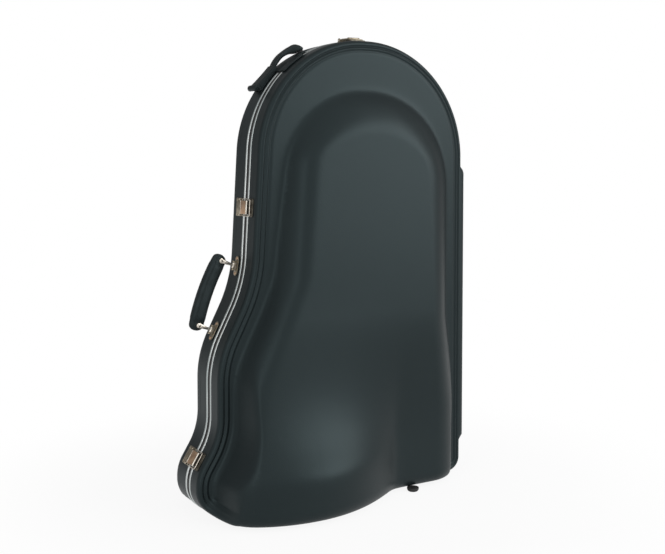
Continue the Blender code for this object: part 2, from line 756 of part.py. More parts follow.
def wire_loop(name, mat):
    """Closed wire rectangle with rounded corners: pivot bar at the origin, cross bar to the front."""
    corner = 0.0030
    path = []
    corners = ((-LATCH_LOOP_HALF, 0.0, 180.0), (LATCH_LOOP_HALF, 0.0, 270.0),
               (LATCH_LOOP_HALF, LATCH_LOOP_REACH, 0.0), (-LATCH_LOOP_HALF, LATCH_LOOP_REACH, 90.0))
    for a, b, start in corners:
        inward = (a - math.copysign(corner, a), b + (corner if b == 0.0 else -corner))
        path += arc(inward, corner, start, start + 90.0, 3)
    curve = bpy.data.curves.new(name, "CURVE")
    curve.dimensions = "3D"
    curve.bevel_depth = LATCH_WIRE
    curve.bevel_resolution = 1
    spline = curve.splines.new("POLY")
    spline.points.add(len(path) - 1)
    for point, (a, b) in zip(spline.points, path):
        point.co = (a, b, -0.0006 * b / LATCH_LOOP_REACH, 1.0)
    spline.use_cyclic_u = True
    curve.materials.append(mat)
    obj = bpy.data.objects.new(name, curve)
    bpy.context.scene.collection.objects.link(obj)
    return obj


def hinge_leaf(name, side, frame, mat):
    """Leaf with its knuckles: side 1 is the front leaf, side -1 the back leaf."""
    meet = math.degrees(math.asin((HINGE_AXIS_N - HINGE_PLATE_HIGH) / HINGE_KNUCKLE))
    tab = HINGE_KNUCKLE * math.cos(math.radians(meet))
    profile = [(-tab, HINGE_PLATE_LOW), (HINGE_LEAF_WIDTH, HINGE_PLATE_LOW),
               (HINGE_LEAF_WIDTH, HINGE_PLATE_HIGH)]
    profile += arc((0.0, HINGE_AXIS_N), HINGE_KNUCKLE, -meet, 180.0 + meet, 12)
    profile = [(side * b, n) for b, n in profile]
    leaf = extruded(name, profile, -HINGE_HALF_HEIGHT, HINGE_HALF_HEIGHT, mat)
    leaf.matrix_world = frame
    reach = side * HINGE_NOTCH
    low_b, high_b = min(reach, -reach), max(reach, -reach)
    if side > 0.0:
        notches = ((-0.04, -HINGE_SPLIT), (HINGE_SPLIT, 0.04))
    else:
        notches = ((-HINGE_SPLIT - 2.0 * GAP, HINGE_SPLIT + 2.0 * GAP),)
    for number, (low, high) in enumerate(notches):
        notch = box_object("%s_notch_%d" % (name, number), (low, low_b, -0.002), (high, high_b, 0.02), mat)
        notch.matrix_world = frame
        boolean(leaf, notch, "DIFFERENCE")
    return leaf


def make_hinges():
    metal = nickel()
    for number, height in enumerate(HINGE_HEIGHTS, start=1):
        wall = Vector((CASE_CORNERS[0][0], 0.0, height))
        frame = frame_matrix(wall, Vector((1.0, 0.0, 0.0)))
        axis = frame @ Matrix.Translation((0.0, 0.0, HINGE_AXIS_N))
        bore_ends = HINGE_HALF_HEIGHT + 0.01
        bore = turned("hinge_bore_%d" % number, [(-bore_ends, HINGE_PIN + GAP), (bore_ends, HINGE_PIN + GAP)],
                      metal)
        bore.matrix_world = axis
        for name, side in (("hinge_back_leaf_%d", -1.0), ("hinge_front_leaf_%d", 1.0)):
            leaf = hinge_leaf(name % number, side, frame, metal)
            boolean(leaf, bore, "DIFFERENCE")
        end = HINGE_HALF_HEIGHT + 2.0 * GAP
        head = end + 0.0015
        pin = turned("hinge_pin_%d" % number, [(-head, 0.0026), (-end, 0.0026), (-end, HINGE_PIN),
                                               (end, HINGE_PIN), (end, 0.0026), (head, 0.0026)], metal)
        pin.matrix_world = axis


def swept(name, stations, mat):
    """Solid through a row of closed sections, each a list of points, with flat ends."""
    bm = bmesh.new()
    made = [[bm.verts.new(point) for point in section] for section in stations]
    for first, second in zip(made, made[1:]):
        join_rings(bm, first, second)
    bm.faces.new(made[0])
    bm.faces.new(made[-1])
    return add_object(name, mesh_from(bm, name, 40.0), mat)


def handle_frame():
    """Origin midway between the handle's eyes: axes along the eyes, to the front, and outward."""
    first, second = [left_wall(z) for z in HANDLE_EYE_ZS]
    along = (second - first).normalized()
    outward = along.cross(Vector((0.0, -1.0, 0.0)))
    middle = (first + second) / 2.0 + outward * HANDLE_EYE_HEIGHT + Vector((0.0, HANDLE_Y, 0.0))
    return frame_matrix(middle, outward), (second - first).length / 2.0


def grip_sections(half):
    """Sections of the curved grip in the handle's frame."""
    stations = []
    reach = half + HANDLE_OVERHANG
    for share in GRIP_SHARES:
        a = share * reach
        lift = HANDLE_LINK_LENGTH + HANDLE_END_BULGE + (HANDLE_BULGE - HANDLE_END_BULGE) * (1.0 - share ** 2)
        slope = -2.0 * (HANDLE_BULGE - HANDLE_END_BULGE) * share / reach
        tilt = math.atan(slope)
        end = smoothstep(0.70, 0.80, abs(share))
        tip = math.sqrt(max(0.0, 1.0 - max(0.0, (abs(share) - 0.8) / 0.26) ** 2))
        thick = 0.5 * HANDLE_GRIP_THICK * tip
        wide = 0.5 * HANDLE_GRIP_WIDE + (HANDLE_TONGUE_HALF - GAP - 0.5 * HANDLE_GRIP_WIDE) * end
        section = []
        for j in range(12):
            angle = 2.0 * math.pi * j / 12
            up = thick * math.sin(angle)
            section.append((a - up * math.sin(tilt), wide * math.cos(angle), lift + up * math.cos(tilt)))
        stations.append(section)
    return stations


def make_carry_handle():
    frame, half = handle_frame()
    metal = nickel()
    grip = swept("handle_grip", grip_sections(half), vinyl())
    grip.matrix_world = frame
    for key, side in (("upper", -1.0), ("lower", 1.0)):
        eye = frame @ Matrix.Translation((side * half, 0.0, 0.0))
        make_handle_end(key, eye, grip, metal)
        make_handle_plate(key, eye, metal)


def make_handle_end(key, eye, grip, metal):
    """Forked link and rivet at one end of the handle."""
    outer_half = HANDLE_TONGUE_HALF + HANDLE_CHEEK
    rivet_half = outer_half + GAP
    head = rivet_half + HANDLE_RIVET_RIM
    rim = HANDLE_RIVET_HEAD - 0.8 * HANDLE_RIVET_RIM
    stations = [(-head, rim), (-rivet_half, HANDLE_RIVET_HEAD), (-rivet_half, HANDLE_RIVET),
                (rivet_half, HANDLE_RIVET), (rivet_half, HANDLE_RIVET_HEAD), (head, rim)]
    rivet = turned("handle_rivet_" + key, stations, metal)
    pin_place = Matrix.Translation((0.0, 0.0, HANDLE_PIN_HEIGHT))
    rivet.matrix_world = eye @ pin_place @ Matrix.Rotation(math.pi / 2.0, 4, "Z")
    reach = rivet_half + 0.01
    bore_radius = HANDLE_RIVET + GAP
    rivet_bore = turned("rivet_bore_" + key, [(-reach, bore_radius), (reach, bore_radius)], metal)
    rivet_bore.matrix_world = rivet.matrix_world
    boolean(grip, rivet_bore, "DIFFERENCE")

    top = HANDLE_PIN_HEIGHT + HANDLE_LINK_HALF
    bridge = HANDLE_LINK_FLOOR + HANDLE_LINK_BRIDGE
    profile = [(-outer_half, HANDLE_LINK_FLOOR), (outer_half, HANDLE_LINK_FLOOR), (outer_half, top),
               (HANDLE_TONGUE_HALF, top), (HANDLE_TONGUE_HALF, bridge), (-HANDLE_TONGUE_HALF, bridge),
               (-HANDLE_TONGUE_HALF, top), (-outer_half, top)]
    link = extruded("handle_link_" + key, profile, -HANDLE_LINK_HALF, HANDLE_LINK_HALF, metal)
    link.matrix_world = eye
    neck_low = (-HANDLE_NECK_HALF, -HANDLE_NECK_HALF - 0.0010, 0.5 * HANDLE_BARREL)
    neck_high = (HANDLE_NECK_HALF, HANDLE_NECK_HALF + 0.0010, HANDLE_LINK_FLOOR + 0.0005)
    neck = box_object("neck_" + key, neck_low, neck_high, metal)
    barrel_ends = [(-HANDLE_BARREL_HALF, HANDLE_BARREL), (HANDLE_BARREL_HALF, HANDLE_BARREL)]
    barrel = turned("barrel_" + key, barrel_ends, metal)
    bar_bore = turned("bar_bore_" + key, [(-0.02, HANDLE_BAR + GAP), (0.02, HANDLE_BAR + GAP)], metal)
    for piece, operation in ((neck, "UNION"), (barrel, "UNION"), (bar_bore, "DIFFERENCE")):
        piece.matrix_world = eye
        boolean(link, piece, operation)
    boolean(link, rivet_bore, "DIFFERENCE")


def make_handle_plate(key, eye, metal):
    """Plate flat on the wall, its two posts and the bar that the link turns on."""
    wall = outline_frame(eye.translation.x, eye.translation.z)
    place = wall.copy()
    place.translation = eye.translation
    low = HANDLE_PLATE_STAND - wall.col[2].xyz.dot(eye.translation - wall.translation)
    plate = box_object("handle_plate_" + key, (-HANDLE_PLATE_LENGTH / 2.0, -HANDLE_PLATE_WIDTH / 2.0, low),
                       (HANDLE_PLATE_LENGTH / 2.0, HANDLE_PLATE_WIDTH / 2.0, low + HANDLE_PLATE_THICK), metal)
    plate.matrix_world = place
    for number, side in enumerate((-1.0, 1.0)):
        near = side * HANDLE_POST_START
        far = side * HANDLE_POST_END
        post_low = (min(near, far), -HANDLE_NECK_HALF, low + LATCH_SINK)
        post_high = (max(near, far), HANDLE_NECK_HALF, HANDLE_POST_TOP)
        post = box_object("post_%s_%d" % (key, number), post_low, post_high, metal)
        post.matrix_world = place
        boolean(plate, post, "UNION")
    bar_half = 0.5 * (HANDLE_POST_START + HANDLE_POST_END)
    bar = turned("bar_" + key, [(-bar_half, HANDLE_BAR), (bar_half, HANDLE_BAR)], metal)
    bar.matrix_world = eye
    boolean(plate, bar, "UNION")


def on_arch(angle, height, y):
    """Point at an angle in degrees and a height above the arch's wall."""
    radius = ARCH_RADIUS + height
    turn = math.radians(angle)
    return (ARCH_CENTRE.x + radius * math.cos(turn), y, ARCH_CENTRE.y + radius * math.sin(turn))


def arch_block(name, angles, low, high, front_y, back_y, mat):
    """Block that follows the arch between two heights; low and high are functions of the share."""
    stations = []
    for k, angle in enumerate(angles):
        share = k / (len(angles) - 1)
        bottom = low(share)
        top = high(share)
        stations.append([on_arch(angle, bottom, front_y), on_arch(angle, bottom, back_y),
                         on_arch(angle, top, back_y), on_arch(angle, top, front_y)])
    return swept(name, stations, mat)


def steps_between(start, end, pieces):
    return [start + (end - start) * k / pieces for k in range(pieces + 1)]


def make_end_handle():
    """Moulded cap with a curled lip, and the plate that runs on from it under the strap."""
    mat = vinyl()
    base = arch_block("end_handle_base", steps_between(END_CAP_FROM, END_CAP_TO, 4), lambda s: END_CLEAR,
                      lambda s: END_CAP_HIGH - END_CAP_TAPER * s, END_CAP_FRONT_Y, END_BACK_Y, mat)
    plate = arch_block("end_plate", steps_between(END_PLATE_FROM, END_PLATE_TO, 5), lambda s: END_PLATE_LOW,
                       lambda s: END_PLATE_HIGH, END_PLATE_FRONT_Y, END_BACK_Y - 0.001, mat)
    boolean(base, plate, "UNION")
    lip_centre = Vector(on_arch(END_CAP_FROM + 0.4, END_LIP_HEIGHT, END_CAP_FRONT_Y + 0.001))
    lip_length = END_BACK_Y - END_CAP_FRONT_Y - 0.002
    lip = turned("end_lip", [(0.0, END_LIP_RADIUS), (lip_length, END_LIP_RADIUS)], mat, 12)
    lip.matrix_world = Matrix.Translation(lip_centre) @ Matrix.Rotation(math.pi / 2.0, 4, "Z")
    boolean(base, lip, "UNION")
    swept("end_handle_grip", end_grip_sections(), mat)


def rounded_power(value):
    return math.copysign(abs(value) ** END_GRIP_SQUARENESS, value)


def end_grip_sections():
    """Padded strap over the plate: thin neck at the cap, thick over the fingers, bent down to the plate."""
    centres = [Vector(on_arch(angle, height, y)) for angle, height, y, thick in END_GRIP_ROUTE]
    last = len(centres) - 1
    stations = []
    for k, centre in enumerate(centres):
        thick = END_GRIP_ROUTE[k][3]
        forward = (centres[min(last, k + 1)] - centres[max(0, k - 1)]).normalized()
        up = forward.cross(Vector((0.0, 1.0, 0.0))).normalized()
        across = up.cross(forward).normalized()
        section = []
        for turn in range(8):
            angle = math.radians(22.5 + 45.0 * turn)
            aside = END_GRIP_HALF_WIDTH * rounded_power(math.cos(angle))
            section.append(centre + across * aside + up * 0.5 * thick * rounded_power(math.sin(angle)))
        stations.append(section)
    return stations


def foot_place(x, side):
    return Matrix.Translation((x, side * FOOT_Y, 0.0)) @ Matrix.Rotation(-math.pi / 2.0, 4, "Y")


def make_feet():
    mat = rubber()
    for side_name, side in (("front", FRONT_SHELL["side"]), ("back", BACK_SHELL["side"])):
        for place_name, x in zip(("left", "right"), FOOT_PLACES):
            foot = turned("foot_%s_%s" % (side_name, place_name),
                          [(0.0, FOOT_RADIUS * 0.62), (0.0020, FOOT_RADIUS * 0.86),
                           (0.0055, FOOT_RADIUS), (FOOT_HEIGHT, FOOT_RADIUS)], mat, 16)
            foot.matrix_world = foot_place(x, side)


def make_saddles():
    """Foam blocks on the back lining, hollowed where the tuba's tubing lies."""
    mat = plush_foam()
    for name, height in SADDLE_HEIGHTS.items():
        left = SADDLE_LEFT[name]
        middle = 0.5 * (left + SADDLE_RIGHT)
        low_z = height - SADDLE_THICKNESS / 2.0
        high_z = height + SADDLE_THICKNESS / 2.0
        block = box_object(name, (left, SADDLE_TOP, low_z), (SADDLE_RIGHT, SADDLE_FLOOR, high_z), mat)
        hollow = turned(name + "_hollow", [(-0.1, SADDLE_HOLLOW), (0.1, SADDLE_HOLLOW)], mat, 20)
        place = Vector((middle, SADDLE_TOP - SADDLE_HOLLOW_RISE, height))
        hollow.matrix_world = Matrix.Translation(place) @ Matrix.Rotation(math.pi / 2.0, 4, "Y")
        boolean(block, hollow, "DIFFERENCE")


def make_accessory_box():
    mat = plush_foam()
    box = box_object("accessory_box", BOX_LOW, BOX_HIGH, mat)
    inset = Vector((BOX_WALL, 0.0, BOX_WALL))
    hollow = box_object("box_hollow", BOX_LOW + inset - Vector((0.0, 0.02, 0.0)),
                        BOX_HIGH - inset - Vector((0.0, BOX_WALL, 0.0)), mat)
    boolean(box, hollow, "DIFFERENCE")


def make_lid_pad():
    """Foam pad on the front lining over the tuba's body. Its back follows the slant of the panel."""
    heights = np.array([PAD_CENTRE.z - 0.5 * PAD_SIZE.z, PAD_CENTRE.z + 0.5 * PAD_SIZE.z])
    floor = full_relief(np.full(2, PAD_CENTRE.x), heights, FRONT_SHELL) - LINING_INNER - PAD_GAP
    low, high = heights
    profile = [(-floor[0], low), (PAD_SIZE.y - floor[0], low),
               (PAD_SIZE.y - floor[1], high), (-floor[1], high)]
    half = 0.5 * PAD_SIZE.x
    pad = extruded("lid_pad", profile, PAD_CENTRE.x - half, PAD_CENTRE.x + half, plush_foam())
    bevel = pad.modifiers.new("soft_edges", "BEVEL")
    bevel.width = 0.008
    bevel.segments = 2


def main():
    clear_scene()
    make_shells()
    make_linings()
    make_rim()
    for key in LATCH_SPOTS:
        make_latch(key)
    make_hinges()
    make_carry_handle()
    make_end_handle()
    make_feet()
    make_saddles()
    make_accessory_box()
    make_lid_pad()


main()
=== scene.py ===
"""Looks of the tuba case: moulded shells, drawn aluminium rims, plated hardware, vinyl handles and lights."""
import json
import math

import bmesh
import bpy
import numpy as np
from mathutils import Matrix, Quaternion, Vector
from mathutils.geometry import delaunay_2d_cdt


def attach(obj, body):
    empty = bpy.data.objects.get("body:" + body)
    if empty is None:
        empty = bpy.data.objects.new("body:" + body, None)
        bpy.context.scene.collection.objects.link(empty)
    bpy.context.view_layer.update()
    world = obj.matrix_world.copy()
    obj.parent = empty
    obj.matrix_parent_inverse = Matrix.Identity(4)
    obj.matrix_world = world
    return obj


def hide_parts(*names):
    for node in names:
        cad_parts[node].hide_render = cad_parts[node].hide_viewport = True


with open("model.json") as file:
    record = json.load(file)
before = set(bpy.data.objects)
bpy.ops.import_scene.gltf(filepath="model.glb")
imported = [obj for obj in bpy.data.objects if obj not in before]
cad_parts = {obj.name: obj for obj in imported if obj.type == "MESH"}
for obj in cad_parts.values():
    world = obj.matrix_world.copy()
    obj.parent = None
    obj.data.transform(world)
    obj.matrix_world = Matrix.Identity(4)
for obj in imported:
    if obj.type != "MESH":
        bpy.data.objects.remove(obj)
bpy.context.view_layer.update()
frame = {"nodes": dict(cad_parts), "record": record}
NODES = frame["nodes"]

# Outline of the wall in the seam plane: corner x, corner z, fillet radius. Four corners end the standing rail
CASE_CORNERS = [
    (0.3588, 0.010, 0.036),
    (0.3588, 0.089, 0.0),
    (0.3588, 0.101, 0.0),
    (0.3588, 0.773, 0.0),
    (0.3588, 0.790, 0.0),
    (0.3588, 1.090, 0.279),
    (-0.1992, 1.090, 0.277),
    (-0.2317, 0.525, 0.310),
    (-0.3175, 0.357, 0.230),
    (-0.3175, 0.187, 0.150),
    (-0.3697, 0.103, 0.090),
    (-0.3697, 0.010, 0.062),
]
BELOW_FLOOR = -0.300

# Foot of the slope round the raised body panel
PANEL_CORNERS = [
    (0.3360, -0.300, 0.010),
    (0.3360, 0.200, 0.300),
    (0.3020, 0.420, 0.300),
    (0.3020, 0.968, 0.225),
    (-0.1290, 0.968, 0.210),
    (-0.1830, 0.540, 0.140),
    (-0.2980, 0.300, 0.200),
    (-0.3440, 0.080, 0.150),
    (-0.3440, -0.300, 0.010),
]
PANEL_SLOPE_LEFT = 0.074
PANEL_SLOPE_RIGHT = 0.092
PANEL_SLOPE_TOP = 0.150
PANEL_TOP_FROM_Z = 0.80
PANEL_TOP_TO_Z = 0.93
PANEL_RIGHT_FROM_X = 0.05
PANEL_RIGHT_TO_X = 0.22
PANEL_ROUNDNESS_LEFT = 3.2
PANEL_ROUNDNESS_RIGHT = 2.0
PANEL_FOOT_SOFTNESS = 0.05

# The body panel swells towards the bell and falls back at the foot of the case
SWELL_FROM_Z = 1.10
SWELL_TO_Z = 0.22
FALL_FROM_Z = 0.45
FALL_TO_Z = 0.12

# Bell bulge at the lower left
BELL_X = -0.1380
BELL_REACH_LEFT = 0.198
BELL_REACH_RIGHT = 0.255
BELL_POWER_LEFT = 0.60
BELL_POWER_RIGHT = 1.05
BELL_SIDE_SOFTNESS = 0.12
BELL_EDGE_Z = 0.117
BELL_EDGE_SOFTNESS = 0.022
BELL_FLARE_HEIGHT = 0.475
BELL_FLARE_POWER = 3.5
BELL_CAP_SLANT = 0.06

# Shells
SHELL_THICKNESS = 0.0040
SHELL_EDGE = 0.0143
SHOULDER_WIDTH = 0.031
SHELF_RISE = 0.0030
SHELF_MARGIN = 0.028
CONTOUR_INSETS = (0.0350, 0.0400, 0.0450, 0.0500, 0.0550, 0.0600)
CAP_ROUNDING = 0.020
RAIL_PROUD = 0.012
RAIL_BOTTOM = 0.088
RAIL_TOP = 0.791
RAIL_END_SLOPE = 0.014
FRONT_SHELL = {"side": -1.0, "shoulder": 0.0585, "panel": 0.110, "swell": 0.034, "fall": 0.030, "bell": 0.108}
BACK_SHELL = {"side": 1.0, "shoulder": 0.0735, "panel": 0.125, "swell": 0.0, "fall": 0.0, "bell": 0.0965}

# Outer face of the wall and shoulder: inset, depth past the shoulder height, share of the rail
SHOULDER_LINE = [
    (0.0000, -0.0285, 0.0),
    (0.0000, -0.0282, 0.25),
    (0.0000, -0.0276, 0.8),
    (0.0000, -0.0266, 1.0),
    (0.0000, -0.0145, 1.0),
    (0.0002, -0.0110, 0.98),
    (0.0015, -0.0064, 0.88),
    (0.0045, -0.0022, 0.55),
    (0.0090, 0.0000, 0.0),
    (0.0120, -0.0008, 0.0),
    (0.0140, -0.0018, 0.0),
    (0.0158, -0.0004, 0.0),
    (0.0190, 0.0030, 0.0),
    (0.0222, 0.0024, 0.0),
    (0.0250, 0.0013, 0.0),
    (0.0278, 0.0022, 0.0),
    (SHOULDER_WIDTH, SHELF_RISE, 0.0),
]

# Arch that carries the end handle
ARCH_CENTRE = Vector((0.0638, 0.811))
ARCH_RADIUS = 0.279

# Foam linings
LINING_OUTER = 0.0110
LINING_INNER = 0.0230
LINING_EDGE = 0.0150
LINING_WALL_OUTER = 0.0072
LINING_WALL_INNER = 0.0190
PIPING_RADIUS = 0.0032
PIPING_DEPTH = 0.0170

# Draw latches: the three places on the outline, and the pieces in the latch's own frame
LATCH_SPOTS = {"top": (0.0568, 1.090), "upper": (-0.2222, 0.696), "lower": (-0.3532, 0.132)}
LATCH_PIVOT_B = -0.0178
LATCH_PIVOT_N = 0.0066
LATCH_LIFT = 0.0006
LATCH_HALF_LENGTH = 0.0210
LATCH_PLATE = 0.0016
LATCH_BASE_BACK = -0.0465
LATCH_BASE_FRONT = -0.0148
LATCH_EAR_IN = 0.0166
LATCH_EAR_OUT = 0.0188
LATCH_EAR_TOP = 0.0118
LATCH_EAR_BACK = -0.0232
LATCH_LEVER_HALF = 0.0160
LATCH_BARREL = 0.0034
LATCH_TONGUE = (0.0012, 0.0030)
LATCH_TONGUE_FALL = 0.0022
LATCH_TONGUE_REACH = 0.0372
LATCH_FLANGE = 0.0010
LATCH_FLANGE_LOW = -0.0037
LATCH_CURL = 0.0025
LATCH_FACE_START = 0.0098
LATCH_LOOP_B = 0.0113
LATCH_LOOP_N = -0.0012
LATCH_LOOP_TUBE = 0.0028
LATCH_PIN = 0.0014
LATCH_WIRE = 0.0012
LATCH_LOOP_HALF = 0.0195
LATCH_LOOP_REACH = 0.0365
LATCH_LOOP_CORNER = 0.0040
LATCH_CATCH_START = 0.0165
LATCH_CATCH_END = 0.0400
LATCH_LIP_START = 0.0256
LATCH_LIP_THICK = 0.0014
LATCH_LIP_TOP = 0.0068
LATCH_LIP_HALF = 0.0125

# Hinges on the right side
HINGE_HEIGHTS = (0.200, 0.4425, 0.685)
HINGE_HALF_HEIGHT = 0.030
HINGE_AXIS_N = 0.0060
HINGE_KNUCKLE = 0.0038
HINGE_PLATE_LOW = 0.0013
HINGE_PLATE_HIGH = 0.0029
HINGE_LEAF_WIDTH = 0.0285
HINGE_SPLIT = 0.010
HINGE_PIN = 0.0015

# Carry handle
HANDLE_Y = 0.0260
HANDLE_EYE_ZS = (0.5575, 0.4150)
HANDLE_EYE_HEIGHT = 0.0112
HANDLE_LINK_LENGTH = 0.0320
HANDLE_BULGE = 0.0130
HANDLE_END_BULGE = 0.0050
HANDLE_GRIP_THICK = 0.0350
HANDLE_GRIP_WIDE = 0.0272
HANDLE_OVERHANG = 0.0130
HANDLE_CHEEK = 0.0020
HANDLE_TONGUE_HALF = 0.0085
HANDLE_PLATE_LENGTH = 0.0460
HANDLE_PLATE_WIDTH = 0.0170
HANDLE_PLATE_STAND = 0.0026
HANDLE_PLATE_THICK = 0.0016
HANDLE_BAR = 0.0018
HANDLE_BARREL = 0.0042
HANDLE_BARREL_HALF = 0.0060
HANDLE_PIN_HEIGHT = 0.0365
HANDLE_LINK_FLOOR = 0.0115
HANDLE_EYE_RADIUS = 0.0056
HANDLE_NECK_HALF = 0.0032
HANDLE_POST_START = 0.0077
HANDLE_POST_END = 0.0108
HANDLE_POST_TOP = 0.0045
GRIP_ROWS = 44
GRIP_SQUARENESS = 0.74
GRIP_SEAM_SHARE = 0.40
STITCH_LENGTH = 0.0030
STITCH_RADIUS = 0.00042

# End handle on the arch: angles in degrees about the arch centre
END_CAP_FROM = 146.0
END_CAP_TO = 132.5
END_PLATE_FROM = 134.5
END_PLATE_TO = 116.0
END_PLATE_FRONT_TO = 121.8
END_BACK_Y = 0.058
END_CAP_FRONT_Y = 0.019
END_PLATE_FRONT_Y = -0.027
END_PLATE_STEP_Y = 0.001
END_PLATE_BACK_Y = 0.029
END_PLATE_LOW = 0.0024
END_PLATE_HIGH = 0.0056
END_CAP_HIGH = 0.0195
END_CAP_TAPER = 0.0042
END_CAP_SAG = 0.0030
END_CLEAR = 0.0022
END_LIP_RADIUS = 0.0072
END_LIP_HEIGHT = 0.0160
END_GRIP_WIDE = 0.0272

# Route of the padded strap: angle, height over the wall, y and thickness
END_GRIP_ROUTE = [
    (132.8, 0.0115, 0.0362, 0.0080),
    (131.3, 0.0140, 0.0360, 0.0085),
    (129.5, 0.0174, 0.0345, 0.0090),
    (127.2, 0.0204, 0.0320, 0.0096),
    (124.9, 0.0214, 0.0285, 0.0116),
    (122.8, 0.0209, 0.0250, 0.0152),
    (121.0, 0.0190, 0.0215, 0.0200),
    (119.6, 0.0176, 0.0180, 0.0214),
    (118.3, 0.0142, 0.0155, 0.0160),
    (117.2, 0.0100, 0.0145, 0.0080),
]

# Feet
FOOT_PLACES = (-0.2752, 0.1738)
FOOT_Y = 0.109
FOOT_RADIUS = 0.0145
FOOT_HEIGHT = 0.0094

# Inside
SADDLE_HEIGHTS = {"lower_saddle": 0.400, "upper_saddle": 0.760}
SADDLE_THICKNESS = 0.070
SADDLE_LEFT = {"lower_saddle": -0.157, "upper_saddle": -0.067}
SADDLE_RIGHT = 0.193
SADDLE_FLOOR = BACK_SHELL["panel"] - LINING_INNER - 0.0010
SADDLE_TOP = 0.035
SADDLE_HOLLOW = 0.085
SADDLE_HOLLOW_RISE = 0.038
BOX_LOW = Vector((0.118, 0.040, 0.095))
BOX_HIGH = Vector((0.213, BACK_SHELL["panel"] - LINING_INNER - 0.0010, 0.265))
BOX_WALL = 0.008
PAD_CENTRE = Vector((0.053, 0.0, 0.640))
PAD_SIZE = Vector((0.220, 0.030, 0.200))
PAD_GAP = 0.0012
PAD_SHRINK = 0.0035
PAD_SWELL = 0.0030
PAD_VOXEL = 0.0055
PAD_PRESSURE = 4.0
PAD_FRAMES = 20

# Rims
PROFILE_INNER = 0.0060
PROFILE_OUTER = 0.0140
PROFILE_PROUD = 0.0010
PROFILE_CROWN = 0.0022
PROFILE_DEPTH = 0.0100
PROFILE_LEG_START = 0.0043
PROFILE_LEG_END = 0.0062
PROFILE_LEG_REACH = 0.0280
GASKET_HALF = 0.0056
GASKET_SUNK = 0.0005

# Facet sizes
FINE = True
ARC_STEP = math.radians(1.6 if FINE else 4.0)
STRAIGHT_STEP = 0.010 if FINE else 0.025
RELIEF_GRID = 0.0065 if FINE else 0.016
BETWEEN = 3 if FINE else 1
LINING_GRID = 0.010 if FINE else 0.022

# Room that lights the case and shows in its surfaces
ROOM_BRIGHT_SIDE = (-0.30, -0.95, -0.08)
ROOM_TURN = (-0.30, 0.40)
ROOM_DIM = 0.32
ROOM_LIGHT = 1.0

# Share of plain white in what the camera sees of the floor beside the case
FLOOR_GLOW = 0.90
FLOOR_MIRRORED = 0.80

# Photograph's camera
CAMERA_PLACE = (-1.2437, -2.107, 0.80)
CAMERA_TURN = math.radians(30.76)
CAMERA_TILT = math.radians(3.0)
CAMERA_LENS = 54.99
CAMERA_SHIFT_Y = -0.0917


def smoothstep(low, high, value):
    t = np.clip((value - low) / (high - low), 0.0, 1.0)
    return t * t * (3.0 - 2.0 * t)


def soft_ramp(value, softness):
    """0 below zero and the value itself above it, with a rounded bend between."""
    return 0.5 * (value + np.sqrt(value * value + softness * softness))


def rounded_outline(corners, arc_step, straight_step):
    """Points and outward normals of a counter-clockwise polygon with filleted corners."""
    count = len(corners)
    arcs = []
    for i in range(count):
        here = Vector(corners[i][:2])
        before = (here - Vector(corners[i - 1][:2])).normalized()
        after = (Vector(corners[(i + 1) % count][:2]) - here).normalized()
        turn = math.atan2(before.x * after.y - before.y * after.x, before.dot(after))
        radius = corners[i][2]
        side = math.copysign(1.0, turn)
        start = here - before * radius * math.tan(abs(turn) / 2.0)
        outward = Vector((before.y, -before.x))
        arcs.append((start - outward * side * radius, outward, turn, radius * side))
    points = []
    normals = []
    for i in range(count):
        centre, outward, turn, signed_radius = arcs[i]
        pieces = max(2, round(abs(turn) / arc_step))
        for k in range(pieces + 1):
            normal = outward.copy()
            normal.rotate(Matrix.Rotation(turn * k / pieces, 2))
            points.append(centre + normal * signed_radius)
            normals.append(normal)
        following = arcs[(i + 1) % count]
        target = following[0] + following[1] * following[3]
        here = points[-1].copy()
        between = max(1, round((target - here).length / straight_step))
        for k in range(1, between):
            points.append(here.lerp(target, k / between))
            normals.append(normals[-1].copy())
    kept = [i for i in range(len(points)) if (points[i] - points[i - 1]).length > 0.0005]
    return np.array([points[i] for i in kept]), np.array([normals[i] for i in kept])


def distance_inside(x, z, loop):
    """Distance of the points to a closed loop, positive inside it."""
    step = np.roll(loop, -1, axis=0) - loop
    rel_x = x[:, None] - loop[None, :, 0]
    rel_z = z[:, None] - loop[None, :, 1]
    along = np.clip((rel_x * step[:, 0] + rel_z * step[:, 1]) / (step ** 2).sum(axis=1), 0.0, 1.0)
    gap = np.hypot(rel_x - along * step[:, 0], rel_z - along * step[:, 1])
    crossing_x = loop[:, 0] + rel_z * step[:, 0] / np.where(step[:, 1] == 0.0, 1e-9, step[:, 1])
    crossings = ((rel_z > 0.0) != (rel_z - step[:, 1] > 0.0)) & (x[:, None] < crossing_x)
    inside = crossings.sum(axis=1) % 2 == 1
    return np.where(inside, 1.0, -1.0) * gap.min(axis=1)


CASE_OUTLINE, CASE_NORMALS = rounded_outline(CASE_CORNERS, ARC_STEP, STRAIGHT_STEP)
SIDE_CORNERS = [(x, z if z > 0.02 else BELOW_FLOOR, radius) for x, z, radius in CASE_CORNERS]
SIDE_SKETCH = rounded_outline(SIDE_CORNERS, math.radians(5.0), 1.0)[0]
PANEL_SKETCH = rounded_outline(PANEL_CORNERS, math.radians(4.0), 1.0)[0]
WALL, WALL_NORMALS = rounded_outline(CASE_CORNERS, math.radians(1.0), 0.004)


def clear_of_wall(x, z):
    """0 at the shoulder of the side walls and the arch, 1 well inside them and all along the floor."""
    return smoothstep(SHOULDER_WIDTH, SHOULDER_WIDTH + SHELF_MARGIN, distance_inside(x, z, SIDE_SKETCH))


